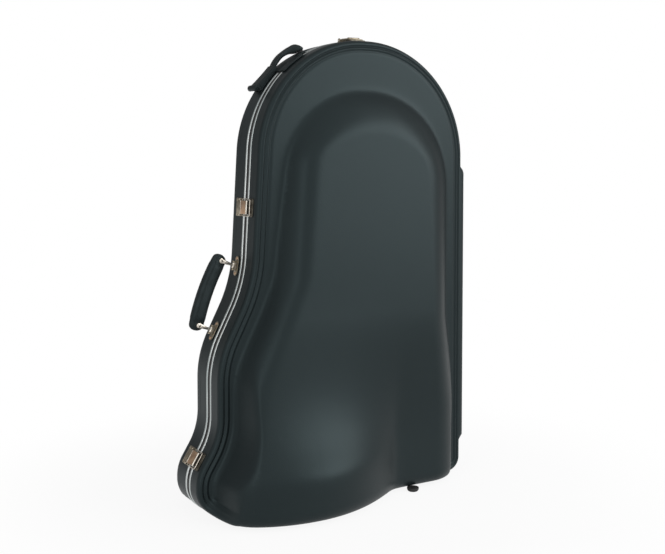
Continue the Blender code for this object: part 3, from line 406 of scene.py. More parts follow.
def full_relief(x, z, shell):
    """Depth of the outer face in front of the seam, with no regard to the shoulder."""
    shelf = shell["shoulder"] + SHELF_RISE
    top = smoothstep(PANEL_TOP_FROM_Z, PANEL_TOP_TO_Z, z)
    right = smoothstep(PANEL_RIGHT_FROM_X, PANEL_RIGHT_TO_X, x) * (1.0 - top)
    slope = PANEL_SLOPE_LEFT + (PANEL_SLOPE_TOP - PANEL_SLOPE_LEFT) * top
    slope = slope + (PANEL_SLOPE_RIGHT - PANEL_SLOPE_LEFT) * right
    roundness = PANEL_ROUNDNESS_LEFT + (PANEL_ROUNDNESS_RIGHT - PANEL_ROUNDNESS_LEFT) * right
    climb = soft_ramp(distance_inside(x, z, PANEL_SKETCH) / slope, PANEL_FOOT_SOFTNESS)
    raised = 1.0 - np.maximum(1.0 - climb, 0.0) ** roundness
    panel = shell["panel"] + shell["swell"] * (1.0 - smoothstep(SWELL_TO_Z, SWELL_FROM_Z, z))
    panel = panel - shell["fall"] * (1.0 - smoothstep(FALL_TO_Z, FALL_FROM_Z, z))
    left = x < BELL_X
    reach = np.where(left, BELL_REACH_LEFT, BELL_REACH_RIGHT)
    across = soft_ramp(1.0 - ((x - BELL_X) / reach) ** 2, BELL_SIDE_SOFTNESS)
    across = across ** np.where(left, BELL_POWER_LEFT, BELL_POWER_RIGHT)
    flare = soft_ramp(z - BELL_EDGE_Z, BELL_EDGE_SOFTNESS) / BELL_FLARE_HEIGHT
    cap = BELL_CAP_SLANT * soft_ramp(BELL_EDGE_Z - z, BELL_EDGE_SOFTNESS)
    bell = shell["bell"] * np.maximum(1.0 - flare, 0.0) ** BELL_FLARE_POWER - cap
    return shelf + (panel - shelf) * raised + bell * across


def relief(x, z, shell):
    """Depth of the outer face in front of the seam: shelf, body panel and bell bulge."""
    shelf = shell["shoulder"] + SHELF_RISE
    return shelf + (full_relief(x, z, shell) - shelf) * clear_of_wall(x, z)


def relief_normals(x, z, shell):
    """Unit normals (x, depth, z) of the relief."""
    step = 0.002
    slope_x = relief(x + step, z, shell) - relief(x - step, z, shell)
    slope_z = relief(x, z + step, shell) - relief(x, z - step, shell)
    normals = np.stack([-slope_x / (2 * step), np.ones_like(x), -slope_z / (2 * step)], axis=1)
    return normals / np.linalg.norm(normals, axis=1)[:, None]


def rail_share(points):
    """1 on the right wall where the standing rail is, 0 elsewhere."""
    on_wall = points[:, 0] > CASE_CORNERS[0][0] - 0.001
    rise = smoothstep(RAIL_BOTTOM, RAIL_BOTTOM + RAIL_END_SLOPE, points[:, 1])
    fall = smoothstep(RAIL_TOP - RAIL_END_SLOPE, RAIL_TOP, points[:, 1])
    return np.where(on_wall, rise * (1.0 - fall), 0.0)


def resampled(line, between):
    """A smooth curve through the rows of a line, with steps added between them."""
    rows = np.array(line)
    result = []
    for i in range(len(rows) - 1):
        before = rows[max(0, i - 1)]
        after = rows[min(len(rows) - 1, i + 2)]
        for k in range(between):
            t = k / between
            start_pull = 0.5 * (rows[i + 1] - before)
            end_pull = 0.5 * (after - rows[i])
            blend = t * t * (3.0 - 2.0 * t)
            curve = rows[i] + (rows[i + 1] - rows[i]) * blend
            curve = curve + start_pull * t * (1.0 - t) ** 2 - end_pull * t * t * (1.0 - t)
            result.append(curve)
    result.append(rows[-1])
    return np.array(result)


def wall_rings(shell, skin, line, straight):
    """Rings from the rim to the shoulder, each an (n, 3) array of x, depth, z. Along the floor the first
    ones, as many as straight, run to the front edge and the others round it."""
    outline, normals = CASE_OUTLINE, CASE_NORMALS
    end = outline - normals * SHOULDER_WIDTH
    full = full_relief(end[:, 0], end[:, 1], shell)
    cap = clear_of_wall(end[:, 0], end[:, 1])
    rail = rail_share(outline)
    radius = max(CAP_ROUNDING - skin, 0.0)
    edge = line[0][1]
    rings = []
    for k, (inset, depth, on_rail) in enumerate(line):
        turn = 0.5 * math.pi * max(0.0, (k - straight) / (len(line) - 1 - straight))
        cap_inset = skin + (SHOULDER_WIDTH - skin) * (1.0 - math.cos(turn))
        cap_depth = full - skin - radius * (1.0 - math.sin(turn))
        cap_depth = edge + (cap_depth - edge) * min(1.0, k / straight)
        inset_here = inset + (cap_inset - inset) * cap - on_rail * RAIL_PROUD * rail
        depth_here = depth + (cap_depth - depth) * cap
        flat = outline - normals * inset_here[:, None]
        rings.append(np.column_stack([flat[:, 0], depth_here, flat[:, 1]]))
    return rings


def points_inside(loop, spacing):
    """Rows along the outline over the steep band beside the shoulder, and a lattice inside them."""
    contours = []
    for inset in CONTOUR_INSETS:
        ring = CASE_OUTLINE - CASE_NORMALS * inset
        contours.append(ring[distance_inside(ring[:, 0], ring[:, 1], CASE_OUTLINE) > inset - 0.001])
    lattice = []
    row_step = spacing * 0.87
    low = loop[:, 1].min()
    high = loop[:, 1].max()
    rows = int((high - low) / row_step)
    first = low + 0.5 * (high - low - (rows - 1) * row_step)
    following = np.roll(loop, -1, axis=0)
    for r in range(rows):
        z = first + r * row_step
        spans = (loop[:, 1] > z) != (following[:, 1] > z)
        share = (z - loop[spans, 1]) / (following[spans, 1] - loop[spans, 1])
        crossings = loop[spans, 0] + share * (following[spans, 0] - loop[spans, 0])
        columns = int((crossings.max() - crossings.min()) / spacing)
        middle = 0.5 * (crossings.max() + crossings.min()) + (0.25 if r % 2 else -0.25) * spacing
        lattice += [(middle + (c - 0.5 * (columns - 1)) * spacing, z) for c in range(columns)]
    lattice = np.array(lattice)
    inset = distance_inside(lattice[:, 0], lattice[:, 1], CASE_OUTLINE)
    return np.concatenate(contours + [lattice[inset > CONTOUR_INSETS[-1] + 0.5 * spacing]])


def triangulate(loop, inner):
    """Triangles over the loop and the points inside it, as indices into loop + inner."""
    coords = [Vector(p) for p in loop] + [Vector(p) for p in inner]
    ring = list(range(len(loop)))
    edges = [(i, (i + 1) % len(loop)) for i in ring]
    result = delaunay_2d_cdt(coords, edges, [ring], 1, 1e-7)
    origin = [sources[0] for sources in result[3]]
    return [tuple(origin[i] for i in face) for face in result[2]]


def add_ring(bm, ring, side):
    return [bm.verts.new((x, side * depth, z)) for x, depth, z in ring]


def join_rings(bm, first, second):
    count = len(first)
    for i in range(count):
        j = (i + 1) % count
        bm.faces.new((first[i], first[j], second[j], second[i]))


def new_object(name, bm, smooth_angle=40.0):
    bmesh.ops.recalc_face_normals(bm, faces=bm.faces)
    mesh = bpy.data.meshes.new(name)
    bm.to_mesh(mesh)
    bm.free()
    mesh.shade_smooth()
    mesh.set_sharp_from_angle(angle=math.radians(smooth_angle))
    obj = bpy.data.objects.new(name, mesh)
    bpy.context.scene.collection.objects.link(obj)
    return obj


def moulded(name, shell, skins, lines, straight, spacing):
    """A closed solid between two offset faces of the same relief."""
    bm = bmesh.new()
    loop = CASE_OUTLINE - CASE_NORMALS * SHOULDER_WIDTH
    inner = points_inside(loop, spacing)
    triangles = triangulate(loop, inner)
    both = np.concatenate([loop, inner])
    depth = relief(both[:, 0], both[:, 1], shell)
    outer = np.column_stack([both[:, 0], depth, both[:, 1]])
    directions = relief_normals(both[:, 0], both[:, 1], shell)
    edge_rings = []
    for skin, line in zip(skins, lines):
        face = outer - directions * skin
        rings = wall_rings(shell, skin, line, straight)
        rings[-1] = face[:len(loop)]
        made = [add_ring(bm, ring, shell["side"]) for ring in rings]
        for first, second in zip(made, made[1:]):
            join_rings(bm, first, second)
        verts = made[-1] + add_ring(bm, face[len(loop):], shell["side"])
        for triangle in triangles:
            bm.faces.new([verts[i] for i in triangle])
        edge_rings.append(made[0])
    join_rings(bm, edge_rings[0], edge_rings[1])
    return new_object(name, bm)


def shell_lines(shoulder):
    outer = [(0.0, SHELL_EDGE, 0.0), (0.0, 0.5 * (SHELL_EDGE + shoulder - 0.0285), 0.0)]
    outer += [(inset, shoulder + rise, rail) for inset, rise, rail in SHOULDER_LINE]
    inner = [
        (SHELL_THICKNESS, SHELL_EDGE, 0.0),
        (SHELL_THICKNESS, 0.030, 0.0),
        (SHELL_THICKNESS, shoulder - 0.0130, 0.0),
        (0.0120, shoulder - 0.0060, 0.0),
        (SHOULDER_WIDTH, shoulder - 0.0010, 0.0),
    ]
    return resampled(outer, BETWEEN), resampled(inner, BETWEEN)


def band(name, section, side):
    """Sweep a section of (inset, depth) points round the outline into a closed ring."""
    bm = bmesh.new()
    rings = []
    for inset, depth in section:
        flat = CASE_OUTLINE - CASE_NORMALS * inset
        rings.append(add_ring(bm, np.column_stack([flat[:, 0], np.full(len(flat), depth), flat[:, 1]]), side))
    for first, second in zip(rings, rings[1:] + rings[:1]):
        join_rings(bm, first, second)
    return new_object(name, bm, 50.0)


class Value:
    """A shader socket that can be used in arithmetic."""

    def __init__(self, tree, socket):
        self.tree = tree
        self.socket = socket

    def math(self, operation, first, second=None, third=None):
        node = self.tree.nodes.new("ShaderNodeMath")
        node.operation = operation
        for slot, value in enumerate((first, second, third)):
            if isinstance(value, Value):
                self.tree.links.new(value.socket, node.inputs[slot])
            elif value is not None:
                node.inputs[slot].default_value = value
        return Value(self.tree, node.outputs[0])

    def __add__(self, other):
        return self.math("ADD", self, other)

    def __radd__(self, other):
        return self.math("ADD", other, self)

    def __sub__(self, other):
        return self.math("SUBTRACT", self, other)

    def __rsub__(self, other):
        return self.math("SUBTRACT", other, self)

    def __mul__(self, other):
        return self.math("MULTIPLY", self, other)

    def __rmul__(self, other):
        return self.math("MULTIPLY", other, self)

    def __truediv__(self, other):
        return self.math("DIVIDE", self, other)

    def __pow__(self, other):
        return self.math("POWER", self, other)

    def above(self, low, high):
        """0 below low, 1 above high, smooth between."""
        node = self.tree.nodes.new("ShaderNodeMapRange")
        node.interpolation_type = "SMOOTHSTEP"
        self.tree.links.new(self.socket, node.inputs["Value"])
        node.inputs["From Min"].default_value = low
        node.inputs["From Max"].default_value = high
        return Value(self.tree, node.outputs["Result"])


class Finish:
    """A material under construction: a Principled shader and the nodes that feed it."""

    def __init__(self, name):
        self.material = bpy.data.materials.new(name)
        self.material.use_nodes = True
        self.tree = self.material.node_tree
        self.shader = self.tree.nodes["Principled BSDF"]

    def node(self, kind, settings=None, **sockets):
        node = self.tree.nodes.new(kind)
        for key, value in (settings or {}).items():
            setattr(node, key, value)
        for key, value in sockets.items():
            self.feed(node.inputs[key.replace("_", " ")], value)
        return node

    def feed(self, socket, value):
        if isinstance(value, Value):
            self.tree.links.new(value.socket, socket)
        else:
            socket.default_value = value

    def value(self, socket):
        return Value(self.tree, socket)

    def place(self):
        return self.value(self.node("ShaderNodeTexCoord").outputs["Object"])

    def noise(self, place, scale, detail=2.0, roughness=0.5):
        node = self.node("ShaderNodeTexNoise", Vector=place, Scale=scale, Detail=detail, Roughness=roughness)
        return self.value(node.outputs["Fac"])

    def cells(self, place, scale, feature="F1", output="Distance"):
        node = self.node("ShaderNodeTexVoronoi", {"feature": feature}, Vector=place, Scale=scale)
        return self.value(node.outputs[output])

    def mix(self, factor, first, second):
        node = self.node("ShaderNodeMix", {"data_type": "RGBA"})
        self.feed(node.inputs["Factor"], factor)
        for socket, colour in zip((node.inputs[6], node.inputs[7]), (first, second)):
            self.feed(socket, colour if isinstance(colour, Value) else (*colour, 1.0))
        return self.value(node.outputs[2])

    def stretched(self, place, scale):
        node = self.node("ShaderNodeMapping", Vector=place)
        node.inputs["Scale"].default_value = scale
        return self.value(node.outputs["Vector"])

    def bump(self, height, strength, distance):
        node = self.node("ShaderNodeBump", Height=height, Strength=strength, Distance=distance)
        self.feed(self.shader.inputs["Normal"], self.value(node.outputs["Normal"]))

    def set(self, **sockets):
        for key, value in sockets.items():
            name = key.replace("_", " ")
            if name == "Base Color" and not isinstance(value, Value):
                value = (*value, 1.0)
            self.feed(self.shader.inputs[name], value)
        return self.material


def moulded_plastic():
    """Black plastic with a fine pebble grain, faintly cloudy, with light rub marks."""
    finish = Finish("moulded_plastic")
    place = finish.place()
    cloud = finish.noise(place, 5.0, 3.0)
    rub = finish.noise(finish.stretched(place, (30.0, 30.0, 8.0)), 3.0, 4.0, 0.6).above(0.62, 0.80)
    pebble = finish.cells(place, 620.0)
    colour = finish.mix(cloud, (0.0085, 0.0120, 0.0130), (0.0110, 0.0150, 0.0160))
    finish.set(Base_Color=colour, Roughness=0.38 + 0.04 * cloud + 0.05 * rub, Specular_IOR_Level=0.24,
               Specular_Tint=(0.72, 0.96, 1.0, 1.0))
    finish.bump(pebble, 0.35, 0.0003)
    return finish.material


def drawn_aluminium():
    """Drawn profile: long bright and dull stretches, fine die lines, and small dark nicks."""
    finish = Finish("drawn_aluminium")
    place = finish.place()
    stretch = finish.noise(place, 6.0, 2.0)
    streak = finish.noise(place, 260.0, 3.0)
    nick = finish.noise(place, 420.0, 2.0).above(0.66, 0.72)
    colour = finish.mix(stretch.above(0.38, 0.62), (0.40, 0.44, 0.44), (0.62, 0.65, 0.64))
    finish.set(Base_Color=finish.mix(0.6 * nick, colour, (0.10, 0.105, 0.11)), Metallic=1.0,
               Roughness=0.30 + 0.14 * streak + 0.10 * nick)
    finish.bump(streak, 0.10, 0.0002)
    return finish.material


def plated_steel(name, dark, bright, roughness):
    """Nickel plate with a thin haze, handling marks and fine scratches."""
    finish = Finish(name)
    place = finish.place()
    haze = finish.noise(place, 90.0, 3.0)
    scratch = finish.noise(finish.stretched(place, (40.0, 40.0, 700.0)), 2.0, 3.0, 0.7).above(0.60, 0.72)
    finish.set(Base_Color=finish.mix(haze.above(0.35, 0.65), dark, bright), Metallic=1.0,
               Roughness=roughness + 0.12 * haze + 0.10 * scratch)
    finish.bump(scratch, 0.12, 0.0001)
    return finish.material


def soft_vinyl():
    """Leather-grained vinyl: fine cells between shallow creases, rubbed a little smoother in patches."""
    finish = Finish("soft_vinyl")
    place = finish.place()
    grain = finish.cells(place, 900.0)
    crease = finish.noise(finish.stretched(place, (120.0, 120.0, 60.0)), 2.0, 4.0, 0.6)
    worn = finish.noise(place, 24.0, 2.0).above(0.45, 0.70)
    colour = finish.mix(worn, (0.0070, 0.0095, 0.0100), (0.0105, 0.0140, 0.0150))
    finish.set(Base_Color=colour, Roughness=0.50 - 0.10 * worn + 0.06 * crease, Specular_IOR_Level=0.28,
               Specular_Tint=(0.78, 0.97, 1.0, 1.0))
    finish.bump(0.6 * grain + 0.4 * crease, 0.45, 0.0004)
    return finish.material


def sewing_thread():
    """Waxed black thread with its twist."""
    finish = Finish("sewing_thread")
    place = finish.place()
    twist = finish.noise(place, 2600.0, 1.0)
    finish.set(Base_Color=finish.mix(twist, (0.020, 0.020, 0.021), (0.050, 0.050, 0.052)), Roughness=0.6)
    finish.bump(twist, 0.5, 0.0002)
    return finish.material


def black_rubber():
    """Moulded rubber, matt, with dust caught in its surface."""
    finish = Finish("black_rubber")
    place = finish.place()
    dust = finish.noise(place, 140.0, 3.0)
    pores = finish.noise(place, 1500.0, 2.0)
    finish.set(Base_Color=finish.mix(dust.above(0.45, 0.70), (0.010, 0.010, 0.010), (0.024, 0.023, 0.022)),
               Roughness=0.62 + 0.12 * dust)
    finish.bump(pores, 0.25, 0.0002)
    return finish.material


def plush_foam():
    """Foam with a black plush face: fine short pile with soft patches."""
    finish = Finish("plush_foam")
    place = finish.place()
    pile = finish.noise(place, 1400.0, 2.0)
    patch = finish.noise(place, 14.0, 3.0)
    brushed = finish.noise(finish.stretched(place, (60.0, 60.0, 20.0)), 2.0, 3.0)
    colour = finish.mix(0.5 * patch + 0.5 * brushed, (0.018, 0.018, 0.021), (0.042, 0.042, 0.048))
    finish.set(Base_Color=finish.mix(0.4 * pile, colour, (0.055, 0.055, 0.062)), Roughness=0.95,
               Sheen_Weight=0.5, Sheen_Roughness=0.4)
    finish.bump(pile + 0.8 * brushed, 0.7, 0.0006)
    return finish.material


def woven_tape():
    """Edge binding: a tight weave seen as crossing ribs."""
    finish = Finish("woven_tape")
    place = finish.place()
    rib = finish.cells(finish.stretched(place, (1.0, 1.0, 1.4)), 1100.0)
    finish.set(Base_Color=finish.mix(rib, (0.040, 0.040, 0.043), (0.016, 0.016, 0.018)), Roughness=0.8,
               Sheen_Weight=0.2)
    finish.bump(rib, 0.6, 0.0003)
    return finish.material


FINISHES = {
    "black_plastic": moulded_plastic(),
    "aluminium": drawn_aluminium(),
    "nickel": plated_steel("nickel_plate", (0.56, 0.51, 0.44), (0.74, 0.69, 0.61), 0.20),
    # Painted reflection: the same nickel plate coloured brown, standing for the brown that its faces mirror.
    "nickel_painted_brown_reflection": plated_steel("nickel_painted_brown_reflection_plate", (0.46, 0.30, 0.195), (0.60, 0.41, 0.27), 0.26),
    # Painted shade: the same nickel plate made darker and browner, standing for the dark that its flat faces mirror.
    "nickel_painted_shade": plated_steel("nickel_painted_shade_plate", (0.24, 0.205, 0.150), (0.38, 0.33, 0.25), 0.30),
    # Painted shade: the same nickel plate made much darker, standing for the dark that the catches mirror.
    "nickel_painted_deep_shade": plated_steel("nickel_painted_deep_shade_plate", (0.085, 0.078, 0.062), (0.160, 0.145, 0.118), 0.30),
    "rubber": black_rubber(),
    "vinyl": soft_vinyl(),
    "thread": sewing_thread(),
    "plush_foam": plush_foam(),
    "tape": woven_tape(),
}


def finish_piece(obj, slot, body, *nodes, look=None):
    """Give a new piece its finish, ride it on its body and let it stand for its CAD nodes."""
    obj.data.materials.clear()
    obj.data.materials.append(FINISHES[look or slot])
    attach(obj, body)
    if nodes:
        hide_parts(*nodes)
    return obj


def finish_nodes():
    """Give every CAD node the finish of its material slot."""
    for part in frame["record"]["subparts"]:
        obj = NODES[part["node"]]
        for material_slot in obj.material_slots:
            material_slot.material = FINISHES[part["material_slot"]]


def make_shells():
    for name, body, shell in (("front_shell", "lid", FRONT_SHELL), ("back_shell", "base", BACK_SHELL)):
        skins = (0.0, SHELL_THICKNESS)
        lines = shell_lines(shell["shoulder"])
        piece = moulded(name + "_moulding", shell, skins, lines, 2 * BETWEEN, RELIEF_GRID)
        finish_piece(piece, "black_plastic", body, name)


def make_rims():
    middle = 0.5 * (PROFILE_INNER + PROFILE_OUTER)
    half = 0.5 * (PROFILE_OUTER - PROFILE_INNER)
    section = [(PROFILE_DEPTH, PROFILE_INNER)]
    for k in range(-4, 5):
        section.append((PROFILE_CROWN * (k / 4) ** 2 - PROFILE_PROUD, middle + 0.25 * k * half))
    section += [
        (PROFILE_LEG_START, PROFILE_OUTER),
        (PROFILE_LEG_START, PROFILE_LEG_REACH),
        (PROFILE_LEG_END, PROFILE_LEG_REACH),
        (PROFILE_LEG_END, PROFILE_OUTER),
        (PROFILE_DEPTH, PROFILE_OUTER),
    ]
    finish_piece(band("front_rim", section, -1.0), "aluminium", "lid", "front_rim_profile")
    finish_piece(band("back_rim", section, 1.0), "aluminium", "base", "back_rim_profile")
    gasket = [
        (GASKET_SUNK, -GASKET_HALF),
        (GASKET_SUNK, GASKET_HALF),
        (PROFILE_DEPTH - 0.001, GASKET_HALF),
        (PROFILE_DEPTH - 0.001, -GASKET_HALF),
    ]
    finish_piece(band("seam_gasket", gasket, 1.0), "rubber", "base", "rim_gasket")


def mesh_object(name, mesh, smooth_angle=40.0):
    mesh.shade_smooth()
    mesh.set_sharp_from_angle(angle=math.radians(smooth_angle))
    obj = bpy.data.objects.new(name, mesh)
    bpy.context.scene.collection.objects.link(obj)
    return obj


def ease(bm, edges, width, segments=2):
    """Round the edges off."""
    bmesh.ops.bevel(bm, geom=edges, offset=width, segments=segments, profile=0.5, affect="EDGES", material=-1)


def moved(bm, matrix):
    bmesh.ops.transform(bm, matrix=matrix, verts=bm.verts)
    return bm


def shifted(bm, x, y, z):
    return moved(bm, Matrix.Translation((x, y, z)))


def block(low, high, rounding=0.0, segments=2):
    """Box between two corners, with its edges rounded."""
    low, high = Vector(low), Vector(high)
    bm = bmesh.new()
    place = Matrix.Translation((low + high) / 2.0) @ Matrix.Diagonal((*(high - low), 1.0))
    bmesh.ops.create_cube(bm, size=1.0, matrix=place)
    if rounding:
        ease(bm, bm.edges[:], rounding, segments)
    return bm


def plate(low, high, corner, rounding=0.0004):
    """Flat plate with round corners in its plane and eased edges. Its thickness is along the third axis."""
    bm = block(low, high)
    posts = [edge for edge in bm.edges if abs(edge.verts[0].co.z - edge.verts[1].co.z) > 1e-6]
    ease(bm, posts, corner, 5)
    rims = [edge for edge in bm.edges if abs(edge.verts[0].co.z - edge.verts[1].co.z) < 1e-6
            and edge.verts[0].co.z > 0.5 * (low[2] + high[2])]
    ease(bm, rims, rounding)
    return bm


def rod(start, end, radius, sides=20, rounding=0.0):
    """Round bar between two points, with its ends eased."""
    start, end = Vector(start), Vector(end)
    bm = bmesh.new()
    turn = (end - start).to_track_quat("Z", "Y").to_matrix().to_4x4()
    bmesh.ops.create_cone(bm, cap_ends=True, segments=sides, radius1=radius, radius2=radius,
                          depth=(end - start).length, matrix=Matrix.Translation((start + end) / 2.0) @ turn)
    if rounding:
        caps = [face for face in bm.faces if len(face.verts) == sides]
        ease(bm, list({edge for face in caps for edge in face.edges}), rounding)
    return bm


def slab(outline, start, end, rounding=0.0):
    """Outline in the (second, third) plane, drawn out along the first axis."""
    bm = bmesh.new()
    face = bm.faces.new([bm.verts.new((start, b, n)) for b, n in outline])
    drawn = bmesh.ops.extrude_face_region(bm, geom=[face])["geom"]
    bmesh.ops.translate(bm, verts=[item for item in drawn if isinstance(item, bmesh.types.BMVert)],
                        vec=(end - start, 0.0, 0.0))
    if rounding:
        ends = [face for face in bm.faces if len(face.verts) == len(outline)]
        ease(bm, list({edge for face in ends for edge in face.edges}), rounding)
    return bm


def turned(profile, sides=24):
    """(radius, height) points turned round the third axis."""
    bm = bmesh.new()
    verts = [bm.verts.new((radius, 0.0, height)) for radius, height in profile]
    edges = [bm.edges.new(pair) for pair in zip(verts, verts[1:])]
    bmesh.ops.spin(bm, geom=verts + edges, cent=(0.0, 0.0, 0.0), axis=(0.0, 0.0, 1.0), angle=2.0 * math.pi,
                   steps=sides, use_merge=True)
    bmesh.ops.remove_doubles(bm, verts=bm.verts, dist=1e-6)
    return bm


def drawn(section, places, closed=False):
    """A closed section of (x, y) points carried from place to place, with flat ends unless it closes."""
    bm = bmesh.new()
    verts = [bm.verts.new(places[0] @ Vector((x, y, 0.0))) for x, y in section]
    first = [bm.edges.new((verts[i - 1], verts[i])) for i in range(len(verts))]
    edges = first
    for before, after in zip(places, places[1:]):
        geom = bmesh.ops.extrude_edge_only(bm, edges=edges)["geom"]
        verts = [item for item in geom if isinstance(item, bmesh.types.BMVert)]
        edges = [item for item in geom if isinstance(item, bmesh.types.BMEdge)
                 and item.verts[0] in verts and item.verts[1] in verts]
        bmesh.ops.transform(bm, matrix=after @ before.inverted(), verts=verts)
    if closed:
        bmesh.ops.bridge_loops(bm, edges=first + edges)
    else:
        bmesh.ops.holes_fill(bm, edges=first + edges, sides=0)
    return bm


def assemble(name, frame_place, *pieces, smooth_angle=40.0):
    """Join pieces that were made in one frame into one object, and put it in its place."""
    bm = bmesh.new()
    for piece in pieces:
        bmesh.ops.recalc_face_normals(piece, faces=piece.faces)
        mesh = bpy.data.meshes.new("piece")
        piece.to_mesh(mesh)
        piece.free()
        bm.from_mesh(mesh)
        bpy.data.meshes.remove(mesh)
    bmesh.ops.transform(bm, matrix=frame_place, verts=bm.verts)
    mesh = bpy.data.meshes.new(name)
    bm.to_mesh(mesh)
    bm.free()
    return mesh_object(name, mesh, smooth_angle)


def circle(radius, count=14):
    return [(radius * math.cos(2.0 * math.pi * k / count), radius * math.sin(2.0 * math.pi * k / count))
            for k in range(count)]


def soft_section(width, height, squareness, count=32):
    """Closed section between an ellipse, at squareness 1, and a rectangle, at 0."""
    points = []
    for k in range(count):
        angle = 2.0 * math.pi * k / count
        x = math.copysign(abs(math.cos(angle)) ** squareness, math.cos(angle))
        y = math.copysign(abs(math.sin(angle)) ** squareness, math.sin(angle))
        points.append((0.5 * width * x, 0.5 * height * y))
    return points


def arc(centre, radius, start, end, pieces):
    points = []
    for k in range(pieces + 1):
        angle = math.radians(start + (end - start) * k / pieces)
        points.append((centre[0] + radius * math.cos(angle), centre[1] + radius * math.sin(angle)))
    return points


def path_places(points, up, closed=False):
    """Places along a path: the third axis runs along it, the second stays as near to up as it can."""
    points = [Vector(point) for point in points]
    last = len(points) - 1
    places = []
    for k, point in enumerate(points):
        before = points[k - 1] if closed or k else point
        after = points[(k + 1) % len(points)] if closed or k < last else point
        forward = (after - before).normalized()
        aside = Vector(up).cross(forward).normalized()
        place = Matrix((aside, forward.cross(aside), forward)).transposed().to_4x4()
        place.translation = point
        places.append(place)
    return places


def stitches(points, up, sink=0.0):
    """Short raised threads along a path, with gaps between them."""
    points = [Vector(point) for point in points]
    pieces = []
    travelled = 0.0
    for before, after in zip(points, points[1:]):
        travelled += (after - before).length
        if travelled >= 1.5 * STITCH_LENGTH:
            travelled = 0.0
            along = (after - before).normalized() * 0.5 * STITCH_LENGTH
            middle = after - Vector(up) * sink
            pieces.append(rod(middle - along, middle + along, STITCH_RADIUS, sides=6))
    return pieces


def dome(radius, height, recess=0.0):
    """Rivet head standing on the (first, second) plane, with a dimple if it has a recess."""
    profile = [(0.0, height - recess), (0.32 * radius, height - recess), (0.42 * radius, height)]
    profile += [(0.70 * radius, 0.86 * height), (0.90 * radius, 0.52 * height), (radius, 0.0)]
    profile += [(0.96 * radius, -0.0003), (0.0, -0.0003)]
    return turned(profile, 20)


def frame_matrix(place, outward):
    """Place on the wall: axes along the outline, to the front, and outward."""
    front = Vector((0.0, -1.0, 0.0))
    matrix = Matrix((front.cross(outward), front, outward)).transposed().to_4x4()
    matrix.translation = place
    return matrix


def outline_frame(x, z):
    nearest = np.hypot(WALL[:, 0] - x, WALL[:, 1] - z).argmin()
    outward = Vector((WALL_NORMALS[nearest][0], 0.0, WALL_NORMALS[nearest][1]))
    return frame_matrix(Vector((WALL[nearest][0], 0.0, WALL[nearest][1])), outward)


def left_wall(z):
    left = WALL[WALL[:, 0] < ARCH_CENTRE.x]
    nearest = np.abs(left[:, 1] - z).argmin()
    return Vector((left[nearest][0], 0.0, left[nearest][1]))


def on_arch(angle, height, y):
    """Point at an angle in degrees and a height above the arch's wall."""
    radius = ARCH_RADIUS + height
    turn = math.radians(angle)
    return Vector((ARCH_CENTRE.x + radius * math.cos(turn), y, ARCH_CENTRE.y + radius * math.sin(turn)))


def arch_place(angle, y):
    """Place on the arch's wall: axes along Y, outward, and round the arch."""
    turn = math.radians(angle)
    outward = Vector((math.cos(turn), 0.0, math.sin(turn)))
    across = Vector((0.0, 1.0, 0.0))
    place = Matrix((across, outward, across.cross(outward))).transposed().to_4x4()
    place.translation = on_arch(angle, 0.0, y)
    return place


